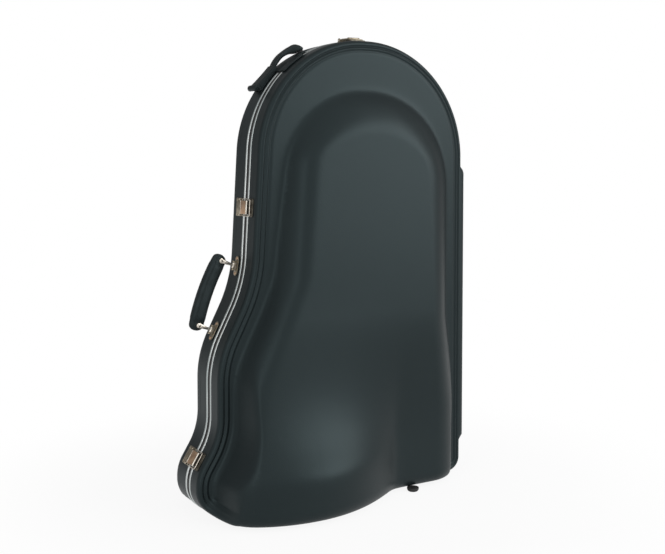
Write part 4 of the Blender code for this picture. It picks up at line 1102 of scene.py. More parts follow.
def make_latch(key):
    """Draw latch: base with ears, curled lever on its pin, wire loop and hooked catch."""
    place = outline_frame(*LATCH_SPOTS[key])
    low, high = LATCH_LIFT, LATCH_LIFT + LATCH_PLATE
    half = LATCH_HALF_LENGTH
    ear_radius = LATCH_EAR_TOP - LATCH_PIVOT_N
    base = [plate((-half, LATCH_BASE_BACK, low), (half, LATCH_BASE_FRONT, high), 0.0035),
            plate((-0.011, LATCH_BASE_BACK + 0.0035, high - 0.0002), (0.011, LATCH_EAR_BACK - 0.0025, high + 0.0007),
                  0.0030, 0.0006)]
    ear = [(LATCH_BASE_FRONT - 0.0004, low + 0.0004)]
    ear += arc((LATCH_PIVOT_B, LATCH_PIVOT_N), ear_radius, 20.0, 160.0, 10)
    ear += [(LATCH_EAR_BACK, low + 0.0004)]
    for side in (-1.0, 1.0):
        base.append(slab(ear, side * LATCH_EAR_IN, side * LATCH_EAR_OUT, 0.0003))
        for b in (LATCH_BASE_BACK + 0.0058, LATCH_EAR_BACK - 0.0050):
            base.append(shifted(dome(0.0026, 0.0012, 0.0004), side * 0.0158, b, high))
    # The base plate is coloured with the darker nickel: painted shade.
    finish_piece(assemble("latch_base_%s_pressed" % key, place, *base), "nickel", "base", "latch_base_" + key,
                 look="nickel_painted_shade")

    pivot = place @ Matrix.Translation((0.0, LATCH_PIVOT_B, LATCH_PIVOT_N))
    pin = [rod((-0.0197, 0.0, 0.0), (0.0197, 0.0, 0.0), LATCH_PIN, 16)]
    for side in (-1.0, 1.0):
        head = moved(dome(0.0024, 0.0010), Matrix.Rotation(side * math.pi / 2.0, 4, "Y"))
        pin.append(shifted(head, side * 0.0194, 0.0, 0.0))
    finish_piece(assemble("latch_pin_%s_headed" % key, pivot, *pin), "nickel", "base", "latch_pin_" + key)
    lever = assemble("latch_lever_%s_curled" % key, pivot, *lever_pieces())
    # The lever body is coloured with the darker nickel: painted shade.
    finish_piece(lever, "nickel", "lever_" + key, "latch_lever_" + key, look="nickel_painted_shade")
    # The top latch's trim and wire take the darker nickel too: painted shade, as that latch mirrors a dark room.
    trim_look = "nickel_painted_shade" if key == "top" else "nickel"
    finish_piece(assemble("latch_lever_%s_trim" % key, pivot, *lever_trim()), "nickel", "lever_" + key,
                 look=trim_look)
    # The face panel is coloured with the brown nickel: painted reflection.
    finish_piece(assemble("latch_lever_%s_face" % key, pivot, lever_face()), "nickel", "lever_" + key, look="nickel_painted_brown_reflection")

    loop_pivot = pivot @ Matrix.Translation((0.0, LATCH_LOOP_B, LATCH_LOOP_N))
    wire = drawn(circle(LATCH_WIRE), path_places(loop_path(), (0.0, 0.0, 1.0), True), True)
    finish_piece(assemble("latch_loop_%s_wire" % key, loop_pivot, wire), "nickel", "loop_" + key,
                 "latch_loop_" + key, look=trim_look)

    hook_top = LATCH_LIP_TOP
    hook = [(LATCH_LIP_START, low), (LATCH_LIP_START, hook_top - 0.0010)]
    hook += arc((LATCH_LIP_START + 0.0010, hook_top - 0.0010), 0.0010, 180.0, 90.0, 4)[1:]
    hook += [(LATCH_LIP_START + 0.0022, hook_top), (LATCH_LIP_START + 0.0022, hook_top - 0.0010)]
    hook += [(LATCH_LIP_START + LATCH_LIP_THICK, hook_top - 0.0016), (LATCH_LIP_START + LATCH_LIP_THICK, low)]
    catch = [plate((-half, LATCH_CATCH_START, low), (half, LATCH_CATCH_END, high), 0.0035),
             slab(hook, -LATCH_LIP_HALF, LATCH_LIP_HALF, 0.0002)]
    for side in (-1.0, 1.0):
        catch.append(shifted(dome(0.0026, 0.0012, 0.0004), side * 0.0158, LATCH_CATCH_END - 0.0052, high))
    # The catch is coloured with the darkest nickel: painted shade.
    finish_piece(assemble("latch_catch_%s_hooked" % key, place, *catch), "nickel", "lid", "latch_catch_" + key,
                 look="nickel_painted_deep_shade")


def lever_pieces():
    """Lever about its pivot: barrel, tongue that falls to its finger end, loop tube and side flanges."""
    low, high = LATCH_TONGUE
    reach, fall = LATCH_TONGUE_REACH, LATCH_TONGUE_FALL
    top = math.degrees(math.asin(high / LATCH_BARREL))
    bottom = math.degrees(math.asin(low / LATCH_BARREL))
    outline = arc((0.0, 0.0), LATCH_BARREL, top, 360.0 + bottom, 22)
    low_there = low - fall * LATCH_LOOP_B / reach
    loop_angle = math.degrees(math.asin((low_there - LATCH_LOOP_N) / LATCH_LOOP_TUBE))
    outline += arc((LATCH_LOOP_B, LATCH_LOOP_N), LATCH_LOOP_TUBE, 180.0 - loop_angle, 360.0 + loop_angle, 16)
    outline += [(reach, low - fall), (reach, high - fall), (0.5 * reach, high - 0.4 * fall)]
    half = LATCH_LEVER_HALF
    pieces = [slab(outline, -half, half, 0.0003)]
    flange = [(0.0, high - 0.0006), (0.0, LATCH_FLANGE_LOW + 0.0006), (0.0010, LATCH_FLANGE_LOW)]
    flange += [(0.70 * reach, LATCH_FLANGE_LOW), (0.92 * reach, low - fall - 0.0004), (0.92 * reach, high - fall - 0.0002)]
    for side in (-1.0, 1.0):
        pieces.append(slab(flange, side * (half - LATCH_FLANGE), side * half, 0.0002))
    return pieces


def lever_trim():
    """Bright rolled finger end of the lever, and the ridge pressed across it behind the face."""
    reach, fall = LATCH_TONGUE_REACH, LATCH_TONGUE_FALL
    half = LATCH_LEVER_HALF
    curl = (reach, LATCH_TONGUE[0] - fall + LATCH_CURL - 0.0004)
    ridge = (LATCH_FACE_START - 0.0012, LATCH_TONGUE[1] - 0.2 * fall)
    return [rod((-half, *curl), (half, *curl), LATCH_CURL, 20, 0.0004),
            rod((0.0006 - half, *ridge), (half - 0.0006, *ridge), 0.0010, 12, 0.0003)]


def lever_face():
    """Nickel panel on the top of the lever's tongue, coloured brown as a painted reflection."""
    reach, fall = LATCH_TONGUE_REACH, LATCH_TONGUE_FALL
    half = LATCH_LEVER_HALF - 0.0008
    face = plate((-half, LATCH_FACE_START, 0.0), (half, reach - 0.0030, 0.0010), 0.0010)
    return shifted(moved(face, Matrix.Rotation(-math.atan(fall / reach), 4, "X")), 0.0, 0.0, LATCH_TONGUE[1] + 0.0001)


def loop_path():
    """Rounded rectangle of the wire, from its pivot bar to the bar that the catch holds."""
    path = []
    corners = ((-LATCH_LOOP_HALF, 0.0, 180.0), (LATCH_LOOP_HALF, 0.0, 270.0),
               (LATCH_LOOP_HALF, LATCH_LOOP_REACH, 0.0), (-LATCH_LOOP_HALF, LATCH_LOOP_REACH, 90.0))
    for a, b, start in corners:
        inward = (a - math.copysign(LATCH_LOOP_CORNER, a), b + (LATCH_LOOP_CORNER if b == 0.0 else -LATCH_LOOP_CORNER))
        path += arc(inward, LATCH_LOOP_CORNER, start, start + 90.0, 8)
    return [(a, b, -0.0006 * b / LATCH_LOOP_REACH) for a, b in path]


def make_hinges():
    for number, height in enumerate(HINGE_HEIGHTS, start=1):
        place = frame_matrix(Vector((CASE_CORNERS[0][0], 0.0, height)), Vector((1.0, 0.0, 0.0)))
        split = HINGE_SPLIT + 0.0006
        reach = HINGE_HALF_HEIGHT
        for name, body, side, knuckles in (("hinge_back_leaf_%d", "base", -1.0, ((-reach, -split), (split, reach))),
                                           ("hinge_front_leaf_%d", "lid", 1.0, ((-HINGE_SPLIT, HINGE_SPLIT),))):
            far, near = sorted((side * HINGE_LEAF_WIDTH, side * 0.0064))
            pieces = [plate((-reach, far, HINGE_PLATE_LOW), (reach, near, HINGE_PLATE_HIGH), 0.0025)]
            for start, end in knuckles:
                pieces.append(rod((start, 0.0, HINGE_AXIS_N), (end, 0.0, HINGE_AXIS_N), HINGE_KNUCKLE, 24, 0.0003))
                tab = sorted((side * 0.0075, 0.0))
                pieces.append(block((start, tab[0], HINGE_PLATE_LOW), (end, tab[1], HINGE_PLATE_HIGH)))
            for a, b in ((-0.021, 0.0135), (0.0, 0.0215), (0.021, 0.0135)):
                pieces.append(shifted(dome(0.0033, 0.0012, 0.0005), a, side * b, HINGE_PLATE_HIGH))
            leaf = assemble((name % number) + "_rolled", place, *pieces)
            finish_piece(leaf, "nickel", body, name % number)
        axis = place @ Matrix.Translation((0.0, 0.0, HINGE_AXIS_N))
        pin = [rod((-reach - 0.0005, 0.0, 0.0), (reach + 0.0005, 0.0, 0.0), HINGE_PIN, 16)]
        for side in (-1.0, 1.0):
            head = moved(dome(0.0026, 0.0014), Matrix.Rotation(side * math.pi / 2.0, 4, "Y"))
            pin.append(shifted(head, side * (reach + 0.0006), 0.0, 0.0))
        finish_piece(assemble("hinge_pin_%d_headed" % number, axis, *pin), "nickel", "base",
                     "hinge_pin_%d" % number)


def handle_frame():
    """Origin midway between the handle's eyes: axes along the eyes, to the front, and outward."""
    first, second = [left_wall(z) for z in HANDLE_EYE_ZS]
    along = (second - first).normalized()
    outward = along.cross(Vector((0.0, -1.0, 0.0)))
    middle = (first + second) / 2.0 + outward * HANDLE_EYE_HEIGHT + Vector((0.0, HANDLE_Y, 0.0))
    return frame_matrix(middle, outward), (second - first).length / 2.0


def grip_places(half):
    """Places of the grip's sections: axes across the grip, outward and along it, scaled to its size there."""
    reach = half + HANDLE_OVERHANG
    places = []
    for row in range(GRIP_ROWS + 1):
        share = math.sin(0.5 * math.pi * (2.0 * row / GRIP_ROWS - 1.0))
        rise = HANDLE_BULGE - HANDLE_END_BULGE
        lift = HANDLE_LINK_LENGTH + HANDLE_END_BULGE + rise * (1.0 - share ** 2)
        tilt = math.atan(-2.0 * rise * share / reach)
        over = max(0.0, (abs(share) - 0.84) / 0.163)
        tip = math.sqrt(max(0.0, 1.0 - over ** 2.4))
        slim = float(smoothstep(0.66, 0.80, abs(share)))
        wide = 1.0 + ((2.0 * HANDLE_TONGUE_HALF - 0.0007) / HANDLE_GRIP_WIDE - 1.0) * slim
        place = Matrix.Translation((share * reach, 0.0, lift)) @ Matrix.Rotation(-tilt, 4, "Y")
        place = place @ Matrix(((0.0, 0.0, 1.0, 0.0), (1.0, 0.0, 0.0, 0.0), (0.0, 1.0, 0.0, 0.0), (0.0, 0.0, 0.0, 1.0)))
        places.append(place @ Matrix.Diagonal((wide * (0.35 + 0.65 * tip), tip, 1.0, 1.0)))
    return places


def make_carry_handle():
    """Padded grip with two welts and sewn edges, and at each end a fork, a rivet and a plate."""
    place, half = handle_frame()
    places = grip_places(half)
    section = soft_section(HANDLE_GRIP_WIDE, HANDLE_GRIP_THICK, GRIP_SQUARENESS)
    grip = assemble("carry_grip_padded", place, drawn(section, places), smooth_angle=60.0)
    finish_piece(grip, "vinyl", "carry_handle", "handle_grip")

    welts = []
    threads = []
    rows = places[5:-5]
    for side in (-1.0, 1.0):
        for level in (-GRIP_SEAM_SHARE, GRIP_SEAM_SHARE):
            across, rise = section_point(section, side, level)
            line = [row @ Vector((across, rise, 0.0)) for row in rows]
            welts.append(drawn(circle(0.0011, 8), path_places(line, (0.0, side, 0.0))))
        across, rise = section_point(section, side, -0.72)
        line = resampled([row @ Vector((across + side * 0.0001, rise, 0.0)) for row in rows], 4)
        threads += stitches(line, (0.0, side, 0.0))
    finish_piece(assemble("carry_grip_welts", place, *welts), "vinyl", "carry_handle")
    finish_piece(assemble("carry_grip_stitches", place, *threads), "vinyl", "carry_handle", look="thread")
    for key, side in (("upper", -1.0), ("lower", 1.0)):
        eye = place @ Matrix.Translation((side * half, 0.0, 0.0))
        make_handle_end(key, eye)
        make_handle_plate(key, eye)


def section_point(section, side, level):
    """Point of a section on one side at a level from -1 to 1 of its half height."""
    top = max(y for x, y in section)
    nearest = min((point for point in section if point[0] * side > 0.0), key=lambda p: abs(p[1] - level * top))
    return nearest


def make_handle_end(key, eye):
    """Forked link that swings on the plate's bar, and the rivet through it and the grip."""
    inner = HANDLE_TONGUE_HALF
    outer = HANDLE_TONGUE_HALF + HANDLE_CHEEK
    cheek = arc((0.0, HANDLE_PIN_HEIGHT), HANDLE_EYE_RADIUS, -20.0, 200.0, 16)
    cheek += [(-HANDLE_NECK_HALF, HANDLE_LINK_FLOOR + 0.004), (-HANDLE_NECK_HALF, HANDLE_LINK_FLOOR),
              (HANDLE_NECK_HALF, HANDLE_LINK_FLOOR), (HANDLE_NECK_HALF, HANDLE_LINK_FLOOR + 0.004)]
    across = Matrix.Rotation(math.pi / 2.0, 4, "Z")
    link = [moved(slab(cheek, side * inner, side * outer, 0.0003), across) for side in (-1.0, 1.0)]
    link.append(block((-HANDLE_NECK_HALF, -outer, HANDLE_LINK_FLOOR), (HANDLE_NECK_HALF, outer, HANDLE_LINK_FLOOR + 0.0022),
                      0.0004))
    link.append(rod((0.0, 0.0, 0.002), (0.0, 0.0, HANDLE_LINK_FLOOR + 0.001), 0.0026, 16))
    link.append(rod((-HANDLE_BARREL_HALF, 0.0, 0.0), (HANDLE_BARREL_HALF, 0.0, 0.0), HANDLE_BARREL, 24, 0.0004))
    finish_piece(assemble("handle_link_%s_forged" % key, eye, *link), "nickel", "carry_handle", "handle_link_" + key)

    pin = eye @ Matrix.Translation((0.0, 0.0, HANDLE_PIN_HEIGHT))
    rivet = [rod((0.0, -outer, 0.0), (0.0, outer, 0.0), 0.0023, 16)]
    painted_shade_dots = []
    for side in (-1.0, 1.0):
        head = moved(dome(0.0042, 0.0014, 0.0008), Matrix.Rotation(-side * math.pi / 2.0, 4, "X"))
        rivet.append(shifted(head, 0.0, side * (outer + 0.0004), 0.0))
        # Dark dot in the dimple of each rivet head, coloured with the darkest nickel: painted shade.
        painted_shade_dot = moved(dome(0.0019, 0.0005), Matrix.Rotation(-side * math.pi / 2.0, 4, "X"))
        painted_shade_dots.append(shifted(painted_shade_dot, 0.0, side * (outer + 0.0008), 0.0))
    finish_piece(assemble("handle_rivet_%s_domed" % key, pin, *rivet), "nickel", "carry_handle",
                 "handle_rivet_" + key)
    finish_piece(assemble("handle_rivet_%s_eyes" % key, pin, *painted_shade_dots), "nickel", "carry_handle", look="nickel_painted_deep_shade")


def make_handle_plate(key, eye):
    """Plate flat on the wall with a post at each end of the bar that the link swings on."""
    wall = outline_frame(eye.translation.x, eye.translation.z)
    place = wall.copy()
    place.translation = eye.translation
    low = HANDLE_PLATE_STAND - wall.col[2].xyz.dot(eye.translation - wall.translation)
    high = low + HANDLE_PLATE_THICK
    half = 0.5 * HANDLE_PLATE_LENGTH
    wide = 0.5 * HANDLE_PLATE_WIDTH
    pieces = [plate((-half, -wide, low), (half, wide, high), wide - 0.0004)]
    screws = []
    for side in (-1.0, 1.0):
        near, far = sorted((side * HANDLE_POST_START, side * HANDLE_POST_END))
        outline = arc((0.0, HANDLE_POST_TOP - 0.0036), 0.0036, 0.0, 180.0, 10)
        outline += [(-0.0036, low + 0.0004), (0.0036, low + 0.0004)]
        pieces.append(slab(outline, near, far, 0.0003))
        screws.append(shifted(dome(0.0036, 0.0015, 0.0006), side * (half - 0.0056), 0.0, high))
    bar_half = 0.5 * (HANDLE_POST_START + HANDLE_POST_END)
    tilt = place.inverted() @ eye
    pieces.append(moved(rod((-bar_half, 0.0, 0.0), (bar_half, 0.0, 0.0), HANDLE_BAR, 16), tilt))
    # The plate is coloured with the darker nickel: painted shade.
    finish_piece(assemble("handle_plate_%s_pressed" % key, place, *pieces), "nickel", "base",
                 "handle_plate_" + key, look="nickel_painted_shade")
    # The screws are coloured with the brown nickel: painted reflection.
    finish_piece(assemble("handle_plate_%s_screws" % key, place, *screws), "nickel", "base", look="nickel_painted_brown_reflection")


def cap_places(start, end, low, high, taper, count, sag=0.0):
    """Places round the arch for a unit-high section, scaled to the height there."""
    places = []
    for k in range(count + 1):
        share = k / count
        place = arch_place(start + (end - start) * share, 0.0)
        height = high - taper * share - 4.0 * sag * share * (1.0 - share) - low
        places.append(place @ Matrix.Translation((0.0, low, 0.0)) @ Matrix.Diagonal((1.0, height, 1.0, 1.0)))
    return places


def roofed_section(low_x, high_x, rounding, height):
    """Section one unit high with its two upper corners rounded at the real size."""
    points = [(low_x, 0.0)]
    points += [(x, 1.0 + (y - 1.0) / height) for x, y in
               arc((low_x + rounding, 1.0 - rounding), rounding, 180.0, 90.0, 6)]
    points += [(x, 1.0 + (y - 1.0) / height) for x, y in
               arc((high_x - rounding, 1.0 - rounding), rounding, 90.0, 0.0, 6)]
    return points + [(high_x, 0.0)]


def make_end_handle():
    """Moulded cap with a rolled lip, the sewn plate under the strap, and the padded strap."""
    height = END_CAP_HIGH - END_CLEAR
    cap = drawn(roofed_section(END_CAP_FRONT_Y, END_BACK_Y, 0.0040, height),
                cap_places(END_CAP_FROM, END_CAP_TO, END_CLEAR, END_CAP_HIGH, END_CAP_TAPER, 24, END_CAP_SAG))
    plate_height = END_PLATE_HIGH - END_PLATE_LOW
    base = [cap]
    for front, back, end in ((END_PLATE_FRONT_Y, END_PLATE_STEP_Y, END_PLATE_FRONT_TO),
                             (END_PLATE_STEP_Y - 0.001, END_PLATE_BACK_Y, END_PLATE_TO)):
        base.append(drawn(roofed_section(front, back, 0.0012, plate_height),
                          cap_places(END_PLATE_FROM, end, END_PLATE_LOW, END_PLATE_HIGH, 0.0, 30)))
    lip_start = on_arch(END_CAP_FROM + 0.4, END_LIP_HEIGHT, END_CAP_FRONT_Y + 0.001)
    lip_end = lip_start + Vector((0.0, END_BACK_Y - END_CAP_FRONT_Y - 0.002, 0.0))
    base.append(rod(lip_start, lip_end, END_LIP_RADIUS, 24, 0.0016))
    finish_piece(assemble("end_handle_base_moulded", Matrix.Identity(4), *base, smooth_angle=35.0), "vinyl", "base",
                 "end_handle_base")

    route = resampled([(*on_arch(angle, rise, y), thick) for angle, rise, y, thick in END_GRIP_ROUTE], 5)
    places = path_places([row[:3] for row in route], (0.0, 1.0, 0.0))
    section = soft_section(1.0, END_GRIP_WIDE, 0.62, 28)
    places = [place @ Matrix.Diagonal((row[3], 1.0, 1.0, 1.0)) for place, row in zip(places, route)]
    strap = assemble("end_strap_padded", Matrix.Identity(4), drawn(section, places), smooth_angle=60.0)
    finish_piece(strap, "vinyl", "end_handle", "end_handle_grip")
    make_end_stitches(places)


def make_end_stitches(places):
    """Threads along both edges of the strap and round the cap and the plate."""
    threads = []
    for side in (-1.0, 1.0):
        for level in (-0.345, 0.345):
            line = [place @ Vector((level, side * 0.5 * END_GRIP_WIDE * 0.90, 0.0)) for place in places[3:-3]]
            threads += stitches(resampled(line, 3), (0.0, 1.0, 0.0))
    finish_piece(assemble("end_strap_stitches", Matrix.Identity(4), *threads), "vinyl", "end_handle", look="thread")
    threads = []
    for y in (END_CAP_FRONT_Y + 0.0055, END_BACK_Y - 0.0055):
        count = 60
        line = []
        for k in range(count + 1):
            share = k / count
            angle = END_CAP_FROM - 1.4 + (END_CAP_TO + 0.6 - END_CAP_FROM + 1.4) * share
            whole = (angle - END_CAP_FROM) / (END_CAP_TO - END_CAP_FROM)
            fall = END_CAP_TAPER * whole + 4.0 * END_CAP_SAG * whole * (1.0 - whole)
            line.append(on_arch(angle, END_CAP_HIGH - fall, y))
        threads += stitches(line, (0.0, 1.0, 0.0))
    for y, end in ((END_PLATE_FRONT_Y + 0.0030, END_PLATE_FRONT_TO), (END_CAP_FRONT_Y - 0.0030, END_PLATE_TO)):
        count = 60
        angles = [END_PLATE_FROM - 0.5 + (end + 1.0 - END_PLATE_FROM) * k / count for k in range(count + 1)]
        threads += stitches([on_arch(angle, END_PLATE_HIGH, y) for angle in angles], (0.0, 1.0, 0.0))
    finish_piece(assemble("end_base_stitches", Matrix.Identity(4), *threads), "vinyl", "base", look="thread")


def make_feet():
    """Domed rubber feet with a groove, and the screw sunk in each."""
    tread = [(0.0, 0.0022), (0.0030, 0.0022), (0.0036, 0.0003), (0.0050, 0.0), (0.0088, 0.0), (0.0106, 0.0004)]
    tread += [(0.0124, 0.0016), (0.0137, 0.0034), (0.0142, 0.0050), (0.0139, 0.0056), (0.0145, 0.0062)]
    tread += [(0.0145, FOOT_HEIGHT), (0.0, FOOT_HEIGHT)]
    for side_name, body, side in (("front", "lid", -1.0), ("back", "base", 1.0)):
        for place_name, x in zip(("left", "right"), FOOT_PLACES):
            name = "foot_%s_%s" % (side_name, place_name)
            place = Matrix.Translation((x, side * FOOT_Y, 0.0))
            finish_piece(assemble(name + "_domed", place, turned(tread, 36)), "rubber", body, name)
            screw = moved(dome(0.0026, 0.0006, 0.0004), Matrix.Rotation(math.pi, 4, "X"))
            finish_piece(assemble(name + "_screw", place, shifted(screw, 0.0, 0.0, 0.0021)), "nickel", body)


def lining_lines(shoulder):
    outer = [(LINING_WALL_OUTER, LINING_EDGE, 0.0), (LINING_WALL_OUTER, 0.0300, 0.0),
             (LINING_WALL_OUTER, shoulder - 0.0180, 0.0), (SHOULDER_WIDTH, shoulder - 0.0060, 0.0)]
    inner = [(LINING_WALL_INNER, LINING_EDGE, 0.0), (LINING_WALL_INNER, 0.0250, 0.0),
             (LINING_WALL_INNER, shoulder - 0.0290, 0.0), (SHOULDER_WIDTH, shoulder - 0.0180, 0.0)]
    return resampled(outer, BETWEEN), resampled(inner, BETWEEN)


def make_linings():
    """Moulded foam with a plush face in each shell, and a cord of piping round its edge."""
    for name, body, shell in (("front_lining", "lid", FRONT_SHELL), ("back_lining", "base", BACK_SHELL)):
        lines = lining_lines(shell["shoulder"])
        lining = moulded(name + "_plush", shell, (LINING_OUTER, LINING_INNER), lines, BETWEEN, LINING_GRID)
        finish_piece(lining, "plush_foam", body, name)
        middle = 0.5 * (LINING_WALL_OUTER + LINING_WALL_INNER)
        section = [(middle + x, PIPING_DEPTH + y) for x, y in circle(PIPING_RADIUS, 12)]
        finish_piece(band(name + "_piping", section, shell["side"]), "plush_foam", body, look="tape")


def puffed(name, bm):
    """Padded piece: an even mesh, blown up as cloth, held to a small swell, then smoothed."""
    obj = new_object(name, bm)
    remesh = obj.modifiers.new("even_faces", "REMESH")
    remesh.mode = "VOXEL"
    remesh.voxel_size = PAD_VOXEL
    flatten(obj)
    if FINE:
        rest = corner_points(obj.data)
        cloth = obj.modifiers.new("swell", "CLOTH")
        cloth.settings.use_pressure = True
        cloth.settings.uniform_pressure_force = PAD_PRESSURE
        cloth.settings.effector_weights.gravity = 0.0
        cloth.point_cache.frame_start = 1
        cloth.point_cache.frame_end = PAD_FRAMES
        for frame_number in range(1, PAD_FRAMES + 1):
            bpy.context.scene.frame_set(frame_number)
        flatten(obj)
        bpy.context.scene.frame_set(1)
        shift = corner_points(obj.data) - rest
        reach = np.linalg.norm(shift, axis=1)[:, None]
        swollen = rest + shift * np.minimum(1.0, PAD_SWELL / np.maximum(reach, 1e-9))
        obj.data.vertices.foreach_set("co", swollen.ravel())
    smooth = obj.modifiers.new("smooth", "SUBSURF")
    smooth.levels = 1
    smooth.render_levels = 1
    flatten(obj)
    obj.data.shade_smooth()
    return obj


def corner_points(mesh):
    points = np.empty(3 * len(mesh.vertices))
    mesh.vertices.foreach_get("co", points)
    return points.reshape(-1, 3)


def flatten(obj):
    """Put the result of the modifiers into the mesh and remove them."""
    bpy.context.view_layer.update()
    mesh = bpy.data.meshes.new_from_object(obj.evaluated_get(bpy.context.evaluated_depsgraph_get()))
    obj.modifiers.clear()
    obj.data = mesh


def make_saddles():
    """Foam saddles with a hollow for the tuba's tubing."""
    for name, height in SADDLE_HEIGHTS.items():
        left = SADDLE_LEFT[name] + PAD_SHRINK
        right = SADDLE_RIGHT - PAD_SHRINK
        middle = 0.5 * (left + right)
        half = 0.5 * SADDLE_THICKNESS - PAD_SHRINK
        centre = (middle, SADDLE_TOP - SADDLE_HOLLOW_RISE)
        radius = SADDLE_HOLLOW + PAD_SHRINK
        top = SADDLE_TOP + PAD_SHRINK
        floor = SADDLE_FLOOR - PAD_SHRINK
        meet = math.degrees(math.acos((top - centre[1]) / radius))
        outline = [(right, floor), (left, floor), (left, top)]
        outline += arc(centre, radius, 90.0 + meet, 90.0 - meet, 16)
        outline += [(right, top)]
        lying = Matrix(((0.0, 1.0, 0.0, 0.0), (0.0, 0.0, 1.0, 0.0), (1.0, 0.0, 0.0, 0.0), (0.0, 0.0, 0.0, 1.0)))
        foam = moved(slab(outline, height - half, height + half), lying)
        saddle = puffed(name + "_foam", foam)
        finish_piece(saddle, "plush_foam", "base", name)


def make_lid_pad():
    """Foam pad in the lid over the tuba's body, its back on the slant of the panel."""
    heights = np.array([PAD_CENTRE.z - 0.5 * PAD_SIZE.z, PAD_CENTRE.z + 0.5 * PAD_SIZE.z])
    floor = full_relief(np.full(2, PAD_CENTRE.x), heights, FRONT_SHELL) - LINING_INNER - PAD_GAP - PAD_SHRINK
    low, high = heights[0] + PAD_SHRINK, heights[1] - PAD_SHRINK
    thick = PAD_SIZE.y - 2.0 * PAD_SHRINK
    outline = [(-floor[0], low), (thick - floor[0], low), (thick - floor[1], high), (-floor[1], high)]
    half = 0.5 * PAD_SIZE.x - PAD_SHRINK
    foam = slab(outline, PAD_CENTRE.x - half, PAD_CENTRE.x + half)
    pad = puffed("lid_pad_foam", foam)
    finish_piece(pad, "plush_foam", "lid", "lid_pad")


def make_accessory_box():
    """Open box lined and covered with plush, with a bound rim."""
    box = block(BOX_LOW, BOX_HIGH)
    box.normal_update()
    mouth = [face for face in box.faces if face.normal.y < -0.9]
    bmesh.ops.inset_region(box, faces=mouth, thickness=BOX_WALL, use_even_offset=True)
    drawn_in = bmesh.ops.extrude_discrete_faces(box, faces=mouth)["faces"]
    depth = BOX_HIGH.y - BOX_WALL - BOX_LOW.y
    bmesh.ops.translate(box, verts=list({vert for face in drawn_in for vert in face.verts}), vec=(0.0, depth, 0.0))
    ease(box, box.edges[:], 0.0022, 3)
    obj = assemble("accessory_box_plush", Matrix.Identity(4), box, smooth_angle=60.0)
    finish_piece(obj, "plush_foam", "base", "accessory_box")
    inset = 0.5 * BOX_WALL
    low, high = BOX_LOW + Vector((inset, 0.0, inset)), BOX_HIGH - Vector((inset, 0.0, inset))
    corner = 0.004
    path = []
    for x, z, start in ((high.x, high.z, 0.0), (low.x, high.z, 90.0), (low.x, low.z, 180.0), (high.x, low.z, 270.0)):
        centre = (x - math.copysign(corner, x - 0.5 * (low.x + high.x)), z - math.copysign(corner, z - 0.5 * (low.z + high.z)))
        path += [(px, BOX_LOW.y + 0.0010, pz) for px, pz in arc(centre, corner, start, start + 90.0, 4)]
    piping = drawn(circle(0.0020, 8), path_places(path, (0.0, 1.0, 0.0), True), True)
    finish_piece(assemble("accessory_box_piping", Matrix.Identity(4), piping), "plush_foam", "base", look="tape")


def plain_colours():
    bpy.context.scene.view_settings.view_transform = "Standard"


def make_camera():
    data = bpy.data.cameras.new("camera")
    data.lens = CAMERA_LENS
    data.sensor_width = 36.0
    data.shift_y = CAMERA_SHIFT_Y
    camera = bpy.data.objects.new("camera", data)
    camera.location = CAMERA_PLACE
    camera.rotation_euler = (math.pi / 2.0 - CAMERA_TILT, 0.0, -CAMERA_TURN)
    bpy.context.scene.collection.objects.link(camera)
    bpy.context.scene.camera = camera


def area_light(name, place, target, size, power, roll):
    data = bpy.data.lights.new(name, "AREA")
    data.shape = "RECTANGLE"
    data.size = size[0]
    data.size_y = size[1]
    data.energy = power
    light = bpy.data.objects.new(name, data)
    light.location = place
    aim = Vector(target) - Vector(place)
    light.rotation_euler = (aim.to_track_quat("-Z", "Y") @ Quaternion((0.0, 0.0, 1.0), roll)).to_euler()
    bpy.context.scene.collection.objects.link(light)


def make_lights():
    area_light("softbox", (3.75, -4.20, 2.55), (0.0, 0.0, 0.55), (4.1, 3.5), 190.0, math.radians(15.0))
    area_light("strip at the left", (-2.95, -1.75, 1.15), (-0.1, 0.0, 0.55), (0.8, 2.6), 15.0, 0.0)
    area_light("fill behind", (2.6, 3.4, 0.55), (0.0, 0.0, 0.50), (3.0, 1.3), 50.0, 0.0)
    make_world()


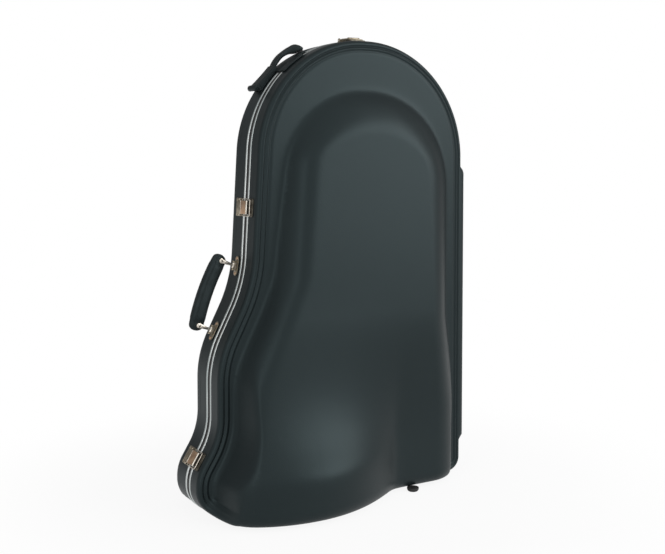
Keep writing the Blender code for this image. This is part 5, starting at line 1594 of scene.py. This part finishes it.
def make_world():
    """Plain white for the camera. The room that the case mirrors is bright in front and dim to the left."""
    world = bpy.data.worlds.new("studio")
    bpy.context.scene.world = world
    world.use_nodes = True
    tree = world.node_tree
    place = tree.nodes.new("ShaderNodeTexCoord").outputs["Generated"]
    facing = tree.nodes.new("ShaderNodeVectorMath")
    facing.operation = "DOT_PRODUCT"
    facing.inputs[1].default_value = ROOM_BRIGHT_SIDE
    tree.links.new(place, facing.inputs[0])
    bright = Value(tree, facing.outputs["Value"]).above(*ROOM_TURN)
    camera = Value(tree, tree.nodes.new("ShaderNodeLightPath").outputs["Is Camera Ray"])
    room = ROOM_DIM + (ROOM_LIGHT - ROOM_DIM) * bright
    strength = camera + (1.0 - camera) * room
    tree.links.new(strength.socket, tree.nodes["Background"].inputs["Strength"])
    tree.nodes["Background"].inputs["Color"].default_value = (1.0, 1.0, 1.0, 1.0)


def make_floor():
    """White sweep: it takes the shadow near the case and turns to plain white away from it."""
    bm = bmesh.new()
    bmesh.ops.create_circle(bm, cap_ends=True, segments=64, radius=9.0)
    floor = new_object("studio_floor", bm)
    finish = Finish("floor_white")
    finish.set(Base_Color=(0.80, 0.80, 0.80), Roughness=0.9)
    tree = finish.tree
    away = finish.value(finish.node("ShaderNodeVectorMath", {"operation": "LENGTH"},
                                    Vector=finish.place()).outputs["Value"])
    rays = finish.node("ShaderNodeLightPath")
    camera, mirrored = finish.value(rays.outputs["Is Camera Ray"]), finish.value(rays.outputs["Is Glossy Ray"])
    share = camera * (FLOOR_GLOW + (1.0 - FLOOR_GLOW) * away.above(0.40, 1.10)) + mirrored
    glow = finish.node("ShaderNodeEmission", Color=(1.0, 1.0, 1.0, 1.0), Strength=camera + FLOOR_MIRRORED * mirrored)
    both = finish.node("ShaderNodeMixShader", Fac=share)
    tree.links.new(finish.shader.outputs[0], both.inputs[1])
    tree.links.new(glow.outputs[0], both.inputs[2])
    tree.links.new(both.outputs[0], tree.nodes["Material Output"].inputs["Surface"])
    floor.data.materials.append(finish.material)


def main():
    plain_colours()
    make_camera()
    finish_nodes()
    make_shells()
    make_rims()
    for key in LATCH_SPOTS:
        make_latch(key)
    make_hinges()
    make_carry_handle()
    make_end_handle()
    make_feet()
    make_linings()
    make_saddles()
    make_lid_pad()
    make_accessory_box()
    make_floor()
    make_lights()


main()
